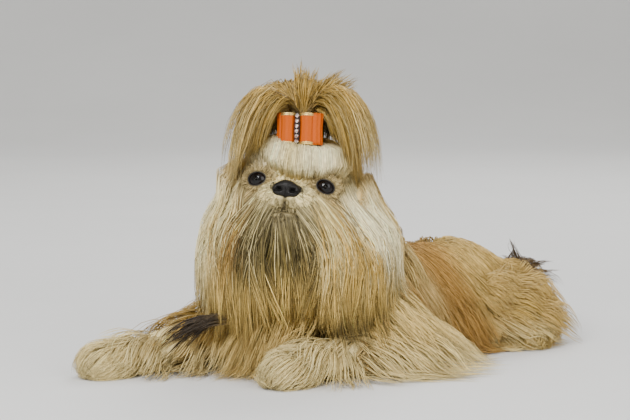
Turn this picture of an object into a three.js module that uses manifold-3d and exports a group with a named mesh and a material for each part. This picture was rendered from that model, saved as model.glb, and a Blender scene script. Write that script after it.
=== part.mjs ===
// A shih tzu in full show coat, lying down with its head up, at life size.
// Millimetres, +Z up. The face looks to -Y, the trunk runs back towards +X and +Y, and the floor is Z = 0.
// Left and right in the names are the dog's own, so its left side is towards +X.
import * as THREE from "three";
import { mergeVertices } from "three/addons/utils/BufferGeometryUtils.js";
import Module from "manifold-3d";

const wasm = await Module();
wasm.setup();

// Driving sizes of the animal.
const TRUNK_YAW = THREE.MathUtils.degToRad(38); // from +X towards +Y, the way the spine runs back
const TRUNK_START = new THREE.Vector3(38, 78, 0); // on the floor under the middle of the rib cage
const HEAD_CENTRE = new THREE.Vector3(-14, 22, 168);
const HEAD_YAW = THREE.MathUtils.degToRad(8); // towards the dog's right
const HEAD_PITCH = THREE.MathUtils.degToRad(12); // chin up
const HEAD_ROLL = THREE.MathUtils.degToRad(6); // left ear down
const SKULL = new THREE.Vector3(49, 48, 42); // half width, half length, half height
const EYE_RADIUS = 10.5;
const EYE_SPREAD = 29; // from the middle of the head to each eye
const EYE_FORWARD = 37;
const EYE_UP = -6;
const LID_TUBE = 1.9;
const NOSE_WIDTH = 22;
const BOW_HEIGHT = 25; // width of the ribbon, which stands upright in the bow
const COAT_CORE = 4; // close coat over the skin that the locks stand on
const FACE_CORE = 2;
const GAP = 0.4; // clearance between neighbouring pieces
const SINK = 4; // how far the root of a lock is set into its node

// Small helpers.
const v = (x, y, z) => new THREE.Vector3(x, y, z);
const UP = v(0, 0, 1);
const mix = (a, b, t) => a + (b - a) * t;
const { clamp } = THREE.MathUtils;
const ease = (t) => THREE.MathUtils.smoothstep(t, 0, 1);
const radians = THREE.MathUtils.degToRad;

let seed = 21003;
function random() {
  seed = (seed * 1664525 + 1013904223) % 4294967296;
  return seed / 4294967296;
}
const vary = (size) => (random() * 2 - 1) * size;

// The trunk's own frame: along the spine to the rear, to the dog's left, and up.
const BACK = v(Math.cos(TRUNK_YAW), Math.sin(TRUNK_YAW), 0);
const LEFT = v(Math.sin(TRUNK_YAW), -Math.cos(TRUNK_YAW), 0);
function trunk(along, left, up) {
  return TRUNK_START.clone().addScaledVector(BACK, along).addScaledVector(LEFT, left).setZ(up);
}

// The head's own frame: to the dog's left, forward along the muzzle, and up.
const headTurn = new THREE.Matrix4()
  .makeRotationZ(-HEAD_YAW)
  .multiply(new THREE.Matrix4().makeRotationX(-HEAD_PITCH))
  .multiply(new THREE.Matrix4().makeRotationY(HEAD_ROLL));
const headLeft = v(1, 0, 0).applyMatrix4(headTurn);
const headForward = v(0, -1, 0).applyMatrix4(headTurn);
const headUp = v(0, 0, 1).applyMatrix4(headTurn);
function head(left, forward, up) {
  return HEAD_CENTRE.clone()
    .addScaledVector(headLeft, left)
    .addScaledVector(headForward, forward)
    .addScaledVector(headUp, up);
}

// Distance fields. A round form is an egg with three half axes, a limb is a cone with round ends.
function egg(centre, half, [x, y, z]) {
  const d = v(0, 0, 0);
  return (p) => {
    d.subVectors(p, centre);
    const a = d.dot(x) / half.x;
    const b = d.dot(y) / half.y;
    const c = d.dot(z) / half.z;
    const near = Math.hypot(a, b, c);
    const slope = Math.hypot(a / half.x, b / half.y, c / half.z);
    return slope < 1e-9 ? -Math.min(half.x, half.y, half.z) : (near * (near - 1)) / slope;
  };
}
function limb(from, to, fromRadius, toRadius) {
  const run = to.clone().sub(from);
  const d = v(0, 0, 0);
  return (p) => {
    d.subVectors(p, from);
    const t = clamp(d.dot(run) / run.lengthSq(), 0, 1);
    return Math.hypot(d.x - run.x * t, d.y - run.y * t, d.z - run.z * t) - mix(fromRadius, toRadius, t);
  };
}
function blend(forms, soft) {
  return (p) =>
    forms.reduce((d, form) => {
      const e = form(p);
      if (d === Infinity) return e;
      return Math.min(d, e) - Math.max(soft - Math.abs(d - e), 0) ** 2 / (4 * soft);
    }, Infinity);
}
function slopeOf(field, p) {
  const step = 0.5;
  const d = (x, y, z) => field(v(p.x + x, p.y + y, p.z + z));
  return v(
    d(step, 0, 0) - d(-step, 0, 0),
    d(0, step, 0) - d(0, -step, 0),
    d(0, 0, step) - d(0, 0, -step),
  ).normalize();
}
function onto(field, p, offset) {
  for (let i = 0; i < 6; i++) p.addScaledVector(slopeOf(field, p), offset - field(p));
  return p;
}

// The trunk: rib cage, chest, loin and hips, lower towards the rear.
const TRUNK_AXES = [BACK, LEFT, UP];
const torsoField = blend(
  [
    egg(trunk(8, 0, 52), v(88, 50, 54), TRUNK_AXES),
    egg(trunk(-34, 0, 66), v(42, 42, 42), TRUNK_AXES),
    egg(trunk(96, 0, 50), v(78, 43, 54), TRUNK_AXES),
    egg(trunk(160, 0, 35), v(52, 38, 39), TRUNK_AXES),
  ],
  18,
);
const TORSO_SPINE = [trunk(-36, 0, 62), trunk(30, 0, 52), trunk(110, 0, 44), trunk(182, 0, 34)];

const NECK_BASE = trunk(-18, 0, 92);
const NECK_TOP = head(0, -22, -22);
const neckField = limb(NECK_BASE, NECK_TOP, 42, 35);

// The head: round skull, full brow, short square muzzle with lips, cheeks and the rims round the eyes.
const HEAD_AXES = [headLeft, headForward, headUp];
const MUZZLE_FORWARD = 50;
const MUZZLE_UP = -19;
const pair = (make) => [make(1), make(-1)];
const headField = blend(
  [
    egg(head(0, 0, 0), SKULL, HEAD_AXES),
    egg(head(0, 26, 11), v(40, 22, 20), HEAD_AXES),
    egg(head(0, MUZZLE_FORWARD, MUZZLE_UP), v(24, 17, 13), HEAD_AXES),
    ...pair((s) => egg(head(s * 12, MUZZLE_FORWARD + 7, MUZZLE_UP - 4), v(12.5, 9.5, 9), HEAD_AXES)),
    ...pair((s) => egg(head(s * 31, 20, -22), v(20, 23, 19), HEAD_AXES)),
    ...pair((s) => egg(head(s * EYE_SPREAD, EYE_FORWARD - 5, EYE_UP), v(15, 12, 13.5), HEAD_AXES)),
  ],
  7,
);
const HEAD_SPINE = [head(0, -8, 2), head(0, 30, -8)];
const JAW_CENTRE = head(0, 43, -37);
const jawField = egg(JAW_CENTRE, v(18, 20, 8.5), HEAD_AXES);

// Drop ears: a flap that leaves the top of the skull's side and hangs a little away from the cheek.
const EAR_TOP = 26;
const EAR_LOW = -44;
function earField(s) {
  return blend(
    [
      egg(head(s * 45, -6, EAR_TOP - 8), v(7, 17, 12), HEAD_AXES),
      egg(head(s * 57, -6, mix(EAR_TOP, EAR_LOW, 0.5)), v(7, 23, 24), HEAD_AXES),
      egg(head(s * 60, -6, EAR_LOW + 12), v(6, 17, 20), HEAD_AXES),
    ],
    8,
  );
}
const earSpine = (s) => [head(s * 46, -6, EAR_TOP - 10), head(s * 56, -6, 0), head(s * 60, -6, EAR_LOW + 12)];

// The inner side of the flap is hollowed to a cup that faces the cheek.
const EAR_SKIN = 1.5;
function earFlap(s, grow) {
  const flap = wrap(earSpine(s), earField(s), EAR_SKIN + grow, { sides: 12, rings: 9 });
  if (grow > 0) return flap;
  const cup = new THREE.SphereGeometry(1, 8, 6).scale(6.5, 13, 19);
  return flap.subtract(onHead(cup, head(s * 50, -5, -12)));
}

// Legs. The left foreleg is folded across in front of the chest, the right one reaches out sideways.
const LEGS = {
  foreleg_left: {
    top: v(34, 22, 66),
    bend: v(80, 8, 26),
    wrist: v(-2, -48, 17),
    toes: v(-27, -76, 11),
    radii: [27, 22, 14],
  },
  foreleg_right: {
    top: v(-32, 58, 66),
    bend: v(-84, 30, 32),
    wrist: v(-158, -8, 17),
    toes: v(-188, -25, 11),
    radii: [27, 22, 14],
  },
  hindleg_left: {
    top: trunk(176, 24, 34),
    bend: trunk(134, 42, 32),
    wrist: trunk(196, 48, 14),
    toes: trunk(164, 60, 9),
    radii: [26, 20, 10],
  },
  hindleg_right: {
    top: trunk(176, -24, 34),
    bend: trunk(134, -42, 32),
    wrist: trunk(196, -48, 14),
    toes: trunk(164, -60, 9),
    radii: [26, 20, 10],
  },
};
for (const leg of Object.values(LEGS)) {
  const [thick, middle, thin] = leg.radii;
  leg.upper = limb(leg.top, leg.bend, thick, middle);
  leg.lower = limb(leg.bend, leg.wrist, middle, thin);
  leg.paw = limb(leg.wrist, leg.toes, thin + 1, thin + 1);
  leg.field = blend([leg.upper, leg.lower], 8);
}

// The tail curls from the croup over the far hip, and its end lies on the floor.
const TAIL_PATH = [
  trunk(196, 0, 44),
  trunk(222, -12, 54),
  trunk(230, -46, 48),
  trunk(218, -84, 28),
  trunk(194, -114, 14),
];
const TAIL_RADIUS = 10;
const tailCurve = new THREE.CatmullRomCurve3(TAIL_PATH);
const tailPoints = tailCurve.getSpacedPoints(12);
const tailField = blend(
  tailPoints.slice(1).map((p, i) => limb(tailPoints[i], p, TAIL_RADIUS, TAIL_RADIUS)),
  2,
);

// A three.js geometry as a solid, with its shared vertices merged and its faces out.
function solid(geometry) {
  geometry.deleteAttribute("normal");
  geometry.deleteAttribute("uv");
  const merged = mergeVertices(geometry, 1e-3);
  const make = (flip) => {
    const triVerts = new Uint32Array(merged.index.array);
    if (flip)
      for (let i = 0; i < triVerts.length; i += 3)
        [triVerts[i + 1], triVerts[i + 2]] = [triVerts[i + 2], triVerts[i + 1]];
    return new wasm.Manifold(
      new wasm.Mesh({ numProp: 3, vertProperties: merged.attributes.position.array, triVerts }),
    );
  };
  const made = make(false);
  return made.volume() < 0 ? make(true) : made;
}

// A closed form pulled over a field: rays leave a spine and stop where the field reaches the offset.
// capShare is the part of the rings that goes to each round end.
function wrap(spine, field, offset, { sides = 16, rings = 10, capShare = 0.25 } = {}) {
  const shape = new THREE.SphereGeometry(1, sides, rings);
  const place = shape.attributes.position;
  const curve = spine.length > 2 ? new THREE.CatmullRomCurve3(spine) : new THREE.LineCurve3(...spine);
  for (let i = 0; i < place.count; i++) {
    const share = Math.floor(i / (sides + 1)) / rings;
    const turn = (((i % (sides + 1)) % sides) / sides) * Math.PI * 2;
    const s = clamp((share - capShare) / (1 - 2 * capShare), 0, 1);
    const tangent = curve.getTangent(s);
    const side = UP.clone().cross(tangent);
    if (side.lengthSq() < 0.05) side.set(0, 1, 0).cross(tangent);
    side.normalize();
    const over = tangent.clone().cross(side);
    const toEnd = Math.min(share, 1 - share) / capShare;
    const spread = toEnd < 1e-6 ? 0 : Math.sin((Math.PI / 2) * Math.min(toEnd, 1));
    const ahead = Math.sqrt(1 - spread * spread) * (share < 0.5 ? -1 : 1);
    const way = side
      .multiplyScalar(Math.cos(turn) * spread)
      .addScaledVector(over, Math.sin(turn) * spread)
      .addScaledVector(tangent, ahead);
    const from = curve.getPoint(s);
    let high = 1;
    while (high < 200 && field(from.clone().addScaledVector(way, high)) < offset) high += 2;
    let low = Math.max(high - 2, 0);
    for (let k = 0; k < 12; k++) {
      const middle = (low + high) / 2;
      if (field(from.clone().addScaledVector(way, middle)) < offset) low = middle;
      else high = middle;
    }
    from.addScaledVector(way, low);
    place.setXYZ(i, from.x, from.y, from.z);
  }
  return solid(shape);
}

// A lock of hair: a three-sided cone bent along its path, flat across and drawn out to a tip.
const LOCK_STEPS = 4;
const ROOT_WIDTH = 0.25; // width of a lock at its root against its widest
function lockShape({ path, outward, width, thick, rootWidth = ROOT_WIDTH }, grow) {
  const cone = new THREE.ConeGeometry(1, 1, 3, LOCK_STEPS);
  const place = cone.attributes.position;
  const curve = new THREE.CatmullRomCurve3(path);
  const flat = new THREE.CatmullRomCurve3(outward);
  const p = v(0, 0, 0);
  for (let i = 0; i < place.count; i++) {
    p.fromBufferAttribute(place, i);
    const t = clamp(p.y + 0.5, 0, 1);
    const ring = 1 - t;
    const across = ring < 1e-3 ? 0 : p.x / ring;
    const up = ring < 1e-3 ? 0 : p.z / ring;
    const full = t < 0.5 ? mix(rootWidth, 1, t / 0.5) : mix(1, 0.35, (t - 0.5) / 0.5);
    const centre = curve.getPoint(t);
    const tangent = curve.getTangent(t);
    const side = tangent.clone().cross(flat.getPoint(t)).normalize();
    const ridge = side.clone().cross(tangent).normalize();
    centre.addScaledVector(side, across * ((width * full) / 1.732 + grow * 5));
    centre.addScaledVector(ridge, up * ((thick * mix(1, 0.7, t)) / 1.5 + grow * (up > 0 ? 1.3 : 2)));
    if (ring < 1e-3) centre.addScaledVector(tangent, grow * 4);
    place.setXYZ(i, centre.x, centre.y, Math.max(centre.z, 0.5 - grow));
  }
  return solid(cone);
}

// How many times a closed form wraps a point: 1 inside it, 0 outside, anything else where it is folded.
function wrapsOf(triangles, p) {
  let angle = 0;
  for (const corners of triangles) {
    const [a, b, c] = corners.map((corner) => corner.clone().sub(p));
    const [la, lb, lc] = [a.length(), b.length(), c.length()];
    const facing = a.dot(b.clone().cross(c));
    angle += Math.atan2(facing, la * lb * lc + a.dot(b) * lc + b.dot(c) * la + c.dot(a) * lb);
  }
  return Math.round(angle / (Math.PI * 2));
}
function folded(body) {
  const { numProp, vertProperties, triVerts } = body.getMesh();
  const corner = (i) => new THREE.Vector3().fromArray(vertProperties, triVerts[i] * numProp);
  const triangles = [];
  for (let i = 0; i < triVerts.length; i += 3) triangles.push([corner(i), corner(i + 1), corner(i + 2)]);
  return triangles.some((corners) => {
    const face = new THREE.Triangle(...corners);
    const behind = face.getMidpoint(v(0, 0, 0)).addScaledVector(face.getNormal(v(0, 0, 0)), -0.01);
    return wrapsOf(triangles, behind) !== 1;
  });
}
// The bends and the twist of a folded lock are eased, and it is drawn narrower, until it lies open.
function unfolded(lock) {
  for (let n = 0; n < 40 && (folded(lockShape(lock, 0)) || folded(lockShape(lock, GAP))); n++) {
    const { path, outward } = lock;
    for (let i = 1; i < path.length; i++) {
      const after = Math.min(i + 1, path.length - 1);
      if (i < after) path[i].lerp(path[i - 1].clone().lerp(path[after], 0.5), 0.15);
      outward[i].lerp(outward[i - 1].clone().lerp(outward[after], 0.5), 0.4).normalize();
    }
    lock.width *= 0.98;
  }
  return lock;
}

// How far the coat of each inner part stands out, so that the locks of the parts outside it lie over it.
const LEG_COAT = 15;
const TORSO_COAT = 17;
const NECK_COAT = 18;
const overLegs = Object.values(LEGS).map((leg) => [blend([leg.field, leg.paw], 4), LEG_COAT]);
const overTorso = [...overLegs, [torsoField, TORSO_COAT]];
const overNeck = [...overTorso, [neckField, NECK_COAT]];

function pushClear(p, layers, share, more) {
  for (const [field, depth] of layers) {
    const need = (depth + more) * share;
    const d = field(p);
    if (d < need) p.addScaledVector(slopeOf(field, p), need - d);
  }
}
function keepOffFloor(path, thick) {
  const least = thick * 0.5 + 0.6;
  for (const p of path) p.z = Math.max(p.z, least);
}

// A lock combed over the body: it leaves the skin, turns to its comb direction and falls,
// and stays outside its own part by its lift and outside the parts below it.
function combed({ root, comb, length, lift = 2, fall = 0.6, width, thick = 4.5, field, over = [] }) {
  const start = onto(field, root.clone(), COAT_CORE - SINK);
  const away = slopeOf(field, start);
  const path = [start];
  const outward = [away];
  const p = start.clone();
  const way = comb.clone().addScaledVector(away, 0.8).normalize();
  for (let i = 1; i <= LOCK_STEPS; i++) {
    const t = i / LOCK_STEPS;
    const wanted = comb.clone().multiplyScalar(1 - fall * t).addScaledVector(UP, -fall * (0.3 + t));
    way.lerp(wanted.normalize(), 0.6).normalize();
    p.addScaledVector(way, length / LOCK_STEPS);
    pushClear(p, [[field, COAT_CORE + thick * 0.3]], 1, lift * Math.min(1, t * 1.6));
    pushClear(p, over, Math.min(1, t * 3), thick * 0.4);
    if (p.z < thick) {
      p.z = thick * 0.5 + 0.6;
      way.z = Math.max(way.z, 0);
      way.normalize();
    }
    path.push(p.clone());
    const out = slopeOf(field, p);
    outward.push(p.z < 10 ? UP.clone().addScaledVector(out, 0.4).normalize() : out);
  }
  return { path, outward, width: width * (1 + vary(0.1)), thick };
}

// The styled coat of the head hangs as a bell round the face and neck.
// A turn is an angle round its upright axis, 0 at the front and growing towards the dog's left.
const BELL_AXIS = v(-12, 24, 0);
const BELL_TOP = 182;
const BELL = { front: 84, left: 91, right: 94, back: 88 };
function bell(turn, z, push) {
  const open = mix(0.72, 1, clamp(1 - Math.exp((z - BELL_TOP) / 36), 0, 1));
  const side = (turn > 0 ? BELL.left : BELL.right) * open + push;
  const depth = (Math.cos(turn) > 0 ? BELL.front : BELL.back) * open + push;
  return v(BELL_AXIS.x + Math.sin(turn) * side, BELL_AXIS.y - Math.cos(turn) * depth, z);
}
// It leaves its root, reaches the bell after the share `spread` of its length, and hangs down to its tip.
function hanging(lock) {
  const { root, field, turn, sway = 0, tip, push = 0, spread = 0.7, width, thick = 4.5, over = [] } = lock;
  const start = onto(field, root.clone(), COAT_CORE - SINK);
  const away = slopeOf(field, start);
  const path = [start];
  const outward = [away];
  for (let i = 1; i <= LOCK_STEPS; i++) {
    const t = i / LOCK_STEPS;
    const z = mix(start.z, tip, t ** 1.1);
    const at = turn + sway * t;
    const p = start.clone().lerp(bell(at, z, push), ease(Math.min(1, t / spread))).setZ(z);
    pushClear(p, [[field, COAT_CORE + thick * 0.5]], 1, 0);
    pushClear(p, over, Math.min(1, t * 3), thick * 0.5);
    path.push(p);
    outward.push(v(Math.sin(at), -Math.cos(at), 0.1).lerp(away, 0.5 * (1 - t)).normalize());
  }
  keepOffFloor(path, thick);
  return { path, outward, width: width * (1 + vary(0.1)), thick };
}

// A run of like locks: `count` of them with their places spread evenly from 0 to 1.
function run(count, make) {
  return Array.from({ length: count }, (_, i) => make((i + 0.5) / count, i));
}
const raise = (i, thick) => (i % 2) * (thick + 0.8);

// Locks whose second point comes too near another part would only be cut away, so they are left out.
function keepClear(locks, fields, least) {
  return locks.filter(({ path }) => fields.every((field) => field(path[1]) > least));
}

// Head: moustache and cheeks in front, hair of the occiput behind, and smooth locks from brow to topknot.
function headLocks() {
  const locks = [];
  for (const s of [1, -1]) {
    locks.push(
      ...run(6, (t, i) =>
        hanging({
          root: head(s * mix(9, 34, t), mix(60, 34, t), mix(-22, -14, t)),
          field: headField,
          turn: s * radians(mix(5, 66, t)),
          sway: s * radians(4),
          tip: mix(38, 48, t) + vary(6),
          push: raise(i, 4.5),
          width: 25,
          over: overNeck,
        }),
      ),
      ...run(2, (t, i) =>
        hanging({
          root: head(s * mix(40, 46, t), mix(30, 14, t), mix(-10, -4, t)),
          field: headField,
          turn: s * radians(mix(50, 70, t)),
          tip: 62 + vary(8),
          push: 9 + raise(i, 4.5),
          width: 26,
          over: overNeck,
        }),
      ),
    );
  }
  locks.push(
    ...run(4, (t, i) => {
      const turn = radians(mix(144, 216, t));
      return hanging({
        root: head(Math.sin(turn) * 36, Math.cos(turn) * 44, 6),
        field: headField,
        turn,
        tip: 124 + vary(5),
        push: -14 + raise(i, 4.5),
        width: 38,
        over: overNeck,
      });
    }),
    ...run(5, (t) => {
      const lean = mix(-1, 1, t);
      const path = run(LOCK_STEPS + 1, (_, k) => {
        const u = k / LOCK_STEPS;
        const p = head(lean * mix(34, 17, u), mix(47, 38, u), mix(3, 29, u));
        return onto(headField, p, k === 0 ? FACE_CORE - 3 : FACE_CORE + mix(0.2, 0.8, u));
      });
      return { path, outward: path.map((p) => slopeOf(headField, p)), width: 13, thick: 3 };
    }),
  );
  return locks;
}
function beardLocks() {
  return run(6, (t, i) =>
    hanging({
      root: head(mix(-14, 14, t), mix(46, 56, Math.sin(t * Math.PI)), -40),
      field: jawField,
      turn: radians(mix(-26, 26, t)),
      tip: 40 + vary(5),
      push: -16 + raise(i, 4.5),
      width: 20,
      over: overNeck,
    }),
  );
}
function earLocks(s) {
  const field = earField(s);
  return [4, 1].flatMap((count, row) =>
    run(count, (t, i) =>
      hanging({
        root: head(s * 62, mix(16, -26, t), row ? mix(EAR_TOP, EAR_LOW, 0.75) : 6),
        field,
        turn: s * radians(mix(90, s > 0 ? 116 : 130, t)),
        sway: s * radians(-3),
        tip: mix(52, 76, t) + row * 4 + vary(6),
        push: 3 + raise(i, 4.5) - row * 9,
        spread: 0.5,
        width: 27,
        over: overNeck,
      }),
    ),
  );
}

// Topknot: gathered in the band, it rises, parts and arches down on both sides and behind.
const STALK = head(0, 25, 38); // where the gathered hair leaves the skull
const KNOT = head(0, 25, 53);
const KNOT_RISE = 26;
const KNOT_FALL = 66;
function arching({ turn, reach, drop = KNOT_FALL, width, thick = 4.5, high = 0 }) {
  const way = v(Math.sin(turn), -Math.cos(turn), 0);
  const path = [];
  const outward = [];
  for (let i = 0; i <= LOCK_STEPS; i++) {
    const t = i / LOCK_STEPS;
    const fallen = clamp((t - 0.34) / 0.66, 0, 1) ** 1.5;
    const up = KNOT_RISE * Math.sin((Math.min(t / 0.34, 1) * Math.PI) / 2) - drop * fallen;
    const out = 4 + (reach - 4) * Math.sin((t * Math.PI) / 2) ** 1.05;
    const p = KNOT.clone().addScaledVector(way, out).addScaledVector(UP, up + high);
    pushClear(p, [[headField, 8]], Math.min(1, t * 2), 0);
    path.push(p);
    outward.push(UP.clone().multiplyScalar(1 - t * t).addScaledVector(way, 0.25 + t).normalize());
  }
  return { path, outward, width: width * (1 + vary(0.1)), thick, rootWidth: 0.14 };
}
function topknotLocks() {
  const sides = [1, -1].flatMap((s) =>
    run(5, (t, i) =>
      arching({
        turn: s * radians(mix(40, 132, t)),
        reach: 73 + vary(3),
        drop: KNOT_FALL + vary(6),
        width: 31,
        high: raise(i, 4.5),
      }),
    ),
  );
  const back = run(3, (t, i) =>
    arching({
      turn: radians(mix(138, 222, t)),
      reach: 68 + vary(3),
      drop: KNOT_FALL + 10 + vary(6),
      width: 34,
      high: raise(i, 4.5),
    }),
  );
  const spikes = run(4, (t) => {
    const tip = KNOT.clone().add(v(mix(-10, 50, t), -4, mix(48, 40, t) + vary(5)));
    const path = run(LOCK_STEPS + 1, (_, k) => {
      const u = k / LOCK_STEPS;
      return KNOT.clone()
        .lerp(tip, u)
        .add(v(mix(-3, 3, t), 0, 7 * Math.sin(u * Math.PI)));
    });
    return { path, outward: path.map(() => v(0, -1, 0.2)), width: 12, thick: 4, rootWidth: 0.3 };
  });
  return [...sides, ...back, ...spikes];
}

// Neck: a bib on the throat and a collar of long hair over the shoulders and withers.
function neckLocks() {
  const axis = NECK_TOP.clone().sub(NECK_BASE).normalize();
  const side = v(1, 0, 0).addScaledVector(axis, -axis.x).normalize();
  const rear = axis.clone().cross(side).normalize();
  const locks = run(7, (t, i) => {
    const turn = t * Math.PI * 2;
    const way = side.clone().multiplyScalar(Math.cos(turn)).addScaledVector(rear, Math.sin(turn));
    return combed({
      root: NECK_BASE.clone().lerp(NECK_TOP, 0.4).addScaledVector(way, 38),
      comb: UP.clone().multiplyScalar(-0.9).addScaledVector(way, 0.4).normalize(),
      length: 76 + vary(8),
      lift: 2 + raise(i, 4.5),
      fall: 0.8,
      width: 38,
      field: neckField,
      over: overTorso,
    });
  });
  return locks;
}

// Trunk: long locks from the parting on the spine, shorter ones on the flank, and a fan at the rear.
function torsoLocks() {
  const sides = [1, -1].flatMap((s) => [
    ...run(8, (t, i) => {
      const back = mix(0.3, 1.1, t);
      const comb = LEFT.clone().multiplyScalar(s).addScaledVector(BACK, back).addScaledVector(UP, -0.35);
      return combed({
        root: trunk(mix(-40, 196, t) + vary(3), s * 6, mix(110, 66, t)),
        comb: comb.normalize(),
        length: mix(126, 84, t) + vary(8),
        lift: 2 + raise(i, 5),
        fall: 0.7,
        width: 35,
        thick: 5,
        field: torsoField,
        over: overLegs,
      });
    }),
    ...run(5, (t, i) => {
      const comb = UP.clone().multiplyScalar(-0.8).addScaledVector(BACK, mix(0.3, 1.3, t));
      return combed({
        root: trunk(mix(-10, 150, t) + vary(3), s * 44, mix(52, 42, t)),
        comb: comb.addScaledVector(LEFT, s * 0.35).normalize(),
        length: 62 + vary(6),
        lift: 1 + raise(i, 4.5),
        fall: 0.6,
        width: 36,
        field: torsoField,
        over: overLegs,
      });
    }),
  ]);
  const rear = run(4, (t, i) => {
    const across = mix(-32, 32, t);
    return combed({
      root: trunk(204, across, 28),
      comb: BACK.clone().addScaledVector(LEFT, across / 50).normalize(),
      length: 28 + vary(4),
      lift: 2 + raise(i, 4.5),
      fall: 0.8,
      width: 26,
      field: torsoField,
    });
  });
  return keepClear([...sides, ...rear], [neckField, tailField], 18);
}

// Legs: the coat is combed out and back, and its ends lie on the floor.
// Each row of locks has its side of the leg, its number and its length.
const FORE_ROWS = [
  [1, 5, 86],
  [0, 4, 60],
  [-1, 2, 44],
];
const HIND_ROWS = [[1, 4, 44]];
function legLocks(name) {
  const leg = LEGS[name];
  const along = leg.wrist.clone().sub(leg.bend).setZ(0).normalize();
  const across = v(-along.y, along.x, 0);
  if (across.dot(leg.bend.clone().sub(TRUNK_START)) < 0) across.negate();
  const fore = name.startsWith("fore");
  if (fore && across.y > 0) across.negate();
  const rows = fore ? FORE_ROWS : HIND_ROWS;
  const locks = rows.flatMap(([side, count, length]) =>
    run(count, (t, i) => {
      const on = leg.bend.clone().lerp(leg.wrist, mix(-0.1, fore ? 0.9 : 0.65, t));
      const comb = along.clone().multiplyScalar(-mix(1.1, 0.35, t)).addScaledVector(across, side || 0.35);
      return combed({
        root: on.addScaledVector(across, side * 12).add(v(0, 0, side === 0 ? 16 : 9)),
        comb: comb.normalize(),
        length: length * mix(1, 0.8, t) + vary(4),
        lift: (side === 0 ? 6 : 0.5) + raise(i, 4),
        fall: side === 0 ? 0.35 : 0.5,
        width: 25,
        thick: 4,
        field: leg.lower,
      });
    }),
  );
  return keepClear(locks, [torsoField, neckField], 8);
}
const PAW_SPLAY = 1.45;
function pawLocks(name) {
  const leg = LEGS[name];
  const along = leg.toes.clone().sub(leg.wrist).setZ(0).normalize();
  const across = v(-along.y, along.x, 0);
  const fore = name.startsWith("fore");
  return run(fore ? 5 : 2, (t, i) => {
    const lean = mix(-PAW_SPLAY, PAW_SPLAY, t);
    const comb = along.clone().multiplyScalar(Math.cos(lean)).addScaledVector(across, Math.sin(lean));
    const root = leg.wrist.clone().lerp(leg.toes, 0.45).addScaledVector(across, Math.sin(lean) * 10);
    return combed({
      root: root.addScaledVector(UP, 10),
      comb,
      length: (fore ? 46 : 28) + vary(3),
      lift: 0.5 + raise(i, 4),
      fall: 0.6,
      width: 20,
      thick: 4,
      field: leg.paw,
    });
  });
}

// The plume of the tail falls to both sides of it.
function tailLocks() {
  const locks = [1, -1].flatMap((s) =>
    run(5, (t, i) => {
      const on = tailCurve.getPoint(t);
      const along = tailCurve.getTangent(t);
      const across = UP.clone().cross(along).normalize().multiplyScalar(s);
      return combed({
        root: on.addScaledVector(across, 4).add(v(0, 0, 8)),
        comb: across.multiplyScalar(0.5).add(along).normalize(),
        length: 52 + vary(6),
        lift: 1 + raise(i, 4.5),
        fall: 0.6,
        width: 25,
        field: tailField,
      });
    }),
  );
  return keepClear(locks, [torsoField], 10);
}

// The locks of each part are laid once, and shaped again for the larger form that cuts its neighbours.
const laid = new Map();
function locksOf(name, make, grow) {
  if (!laid.has(name)) laid.set(name, make().map(unfolded));
  return laid.get(name).map((lock) => lockShape(lock, grow));
}

function ball(centre, radius, sides) {
  const sphere = new THREE.SphereGeometry(radius, sides, Math.ceil(sides * 0.6));
  return solid(sphere.translate(centre.x, centre.y, centre.z));
}
const eyeCentre = (s) => head(s * EYE_SPREAD, EYE_FORWARD, EYE_UP);
function eyelid(s) {
  const look = headForward.clone().addScaledVector(headLeft, s * 0.2).normalize();
  const place = eyeCentre(s).addScaledVector(look, EYE_RADIUS - 3.4);
  const ring = new THREE.TorusGeometry(EYE_RADIUS - 2.2, LID_TUBE, 4, 11).scale(1, 0.92, 1);
  const turn = new THREE.Quaternion().setFromUnitVectors(UP, look);
  return solid(ring.applyQuaternion(turn).translate(place.x, place.y, place.z));
}
// A form made round its own middle, turned with the head and set at its place.
function onHead(geometry, place) {
  return solid(geometry.applyMatrix4(headTurn).translate(place.x, place.y, place.z));
}

function noseForms(grow) {
  const centre = head(0, MUZZLE_FORWARD + 14, MUZZLE_UP + 6);
  const field = blend(
    [
      egg(centre, v(NOSE_WIDTH / 2, 6, 5.6), HEAD_AXES),
      egg(centre.clone().addScaledVector(headUp, -4), v(5.5, 5, 5), HEAD_AXES),
    ],
    4,
  );
  const beside = (left) => centre.clone().addScaledVector(headLeft, left);
  let nose = wrap([beside(-4), beside(4)], field, grow, { sides: 8, rings: 7 });
  if (grow === 0)
    for (const s of [1, -1]) {
      const hole = new THREE.SphereGeometry(2.1, 6, 4).scale(1.25, 1.6, 1);
      nose = nose.subtract(onHead(hole, beside(s * 4.6).addScaledVector(headForward, 5)));
    }
  return [nose];
}

// The bow stands in front of the band: two upright ribbon loops with a column of beads between them.
const BOW_PLACE = head(0, 42, 45);
const LOOP_REACH = 20;
const LOOP_DEPTH = 11;
const RIBBON = 1.3;
function bowLoop(s, grow) {
  const outline = new THREE.Shape();
  outline.absellipse(0, 0, LOOP_REACH / 2 + grow, LOOP_DEPTH / 2 + grow, 0, Math.PI * 2);
  const inside = new THREE.Path();
  inside.absellipse(0, 0, LOOP_REACH / 2 - RIBBON - grow, LOOP_DEPTH / 2 - RIBBON - grow, 0, Math.PI * 2);
  outline.holes.push(inside);
  const depth = BOW_HEIGHT + 2 * grow;
  const ring = new THREE.ExtrudeGeometry(outline, { depth, bevelEnabled: false, curveSegments: 7 });
  return [
    onHead(
      ring.translate(0, 0, -depth / 2),
      BOW_PLACE.clone().addScaledVector(headLeft, s * (LOOP_REACH / 2 + 1.9)),
    ),
  ];
}
const BEADS = 4;
const BEAD_RADIUS = 3.3;
const BEAD_WAIST = 1.6;
const BEAD_FORWARD = 5.4;
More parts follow.
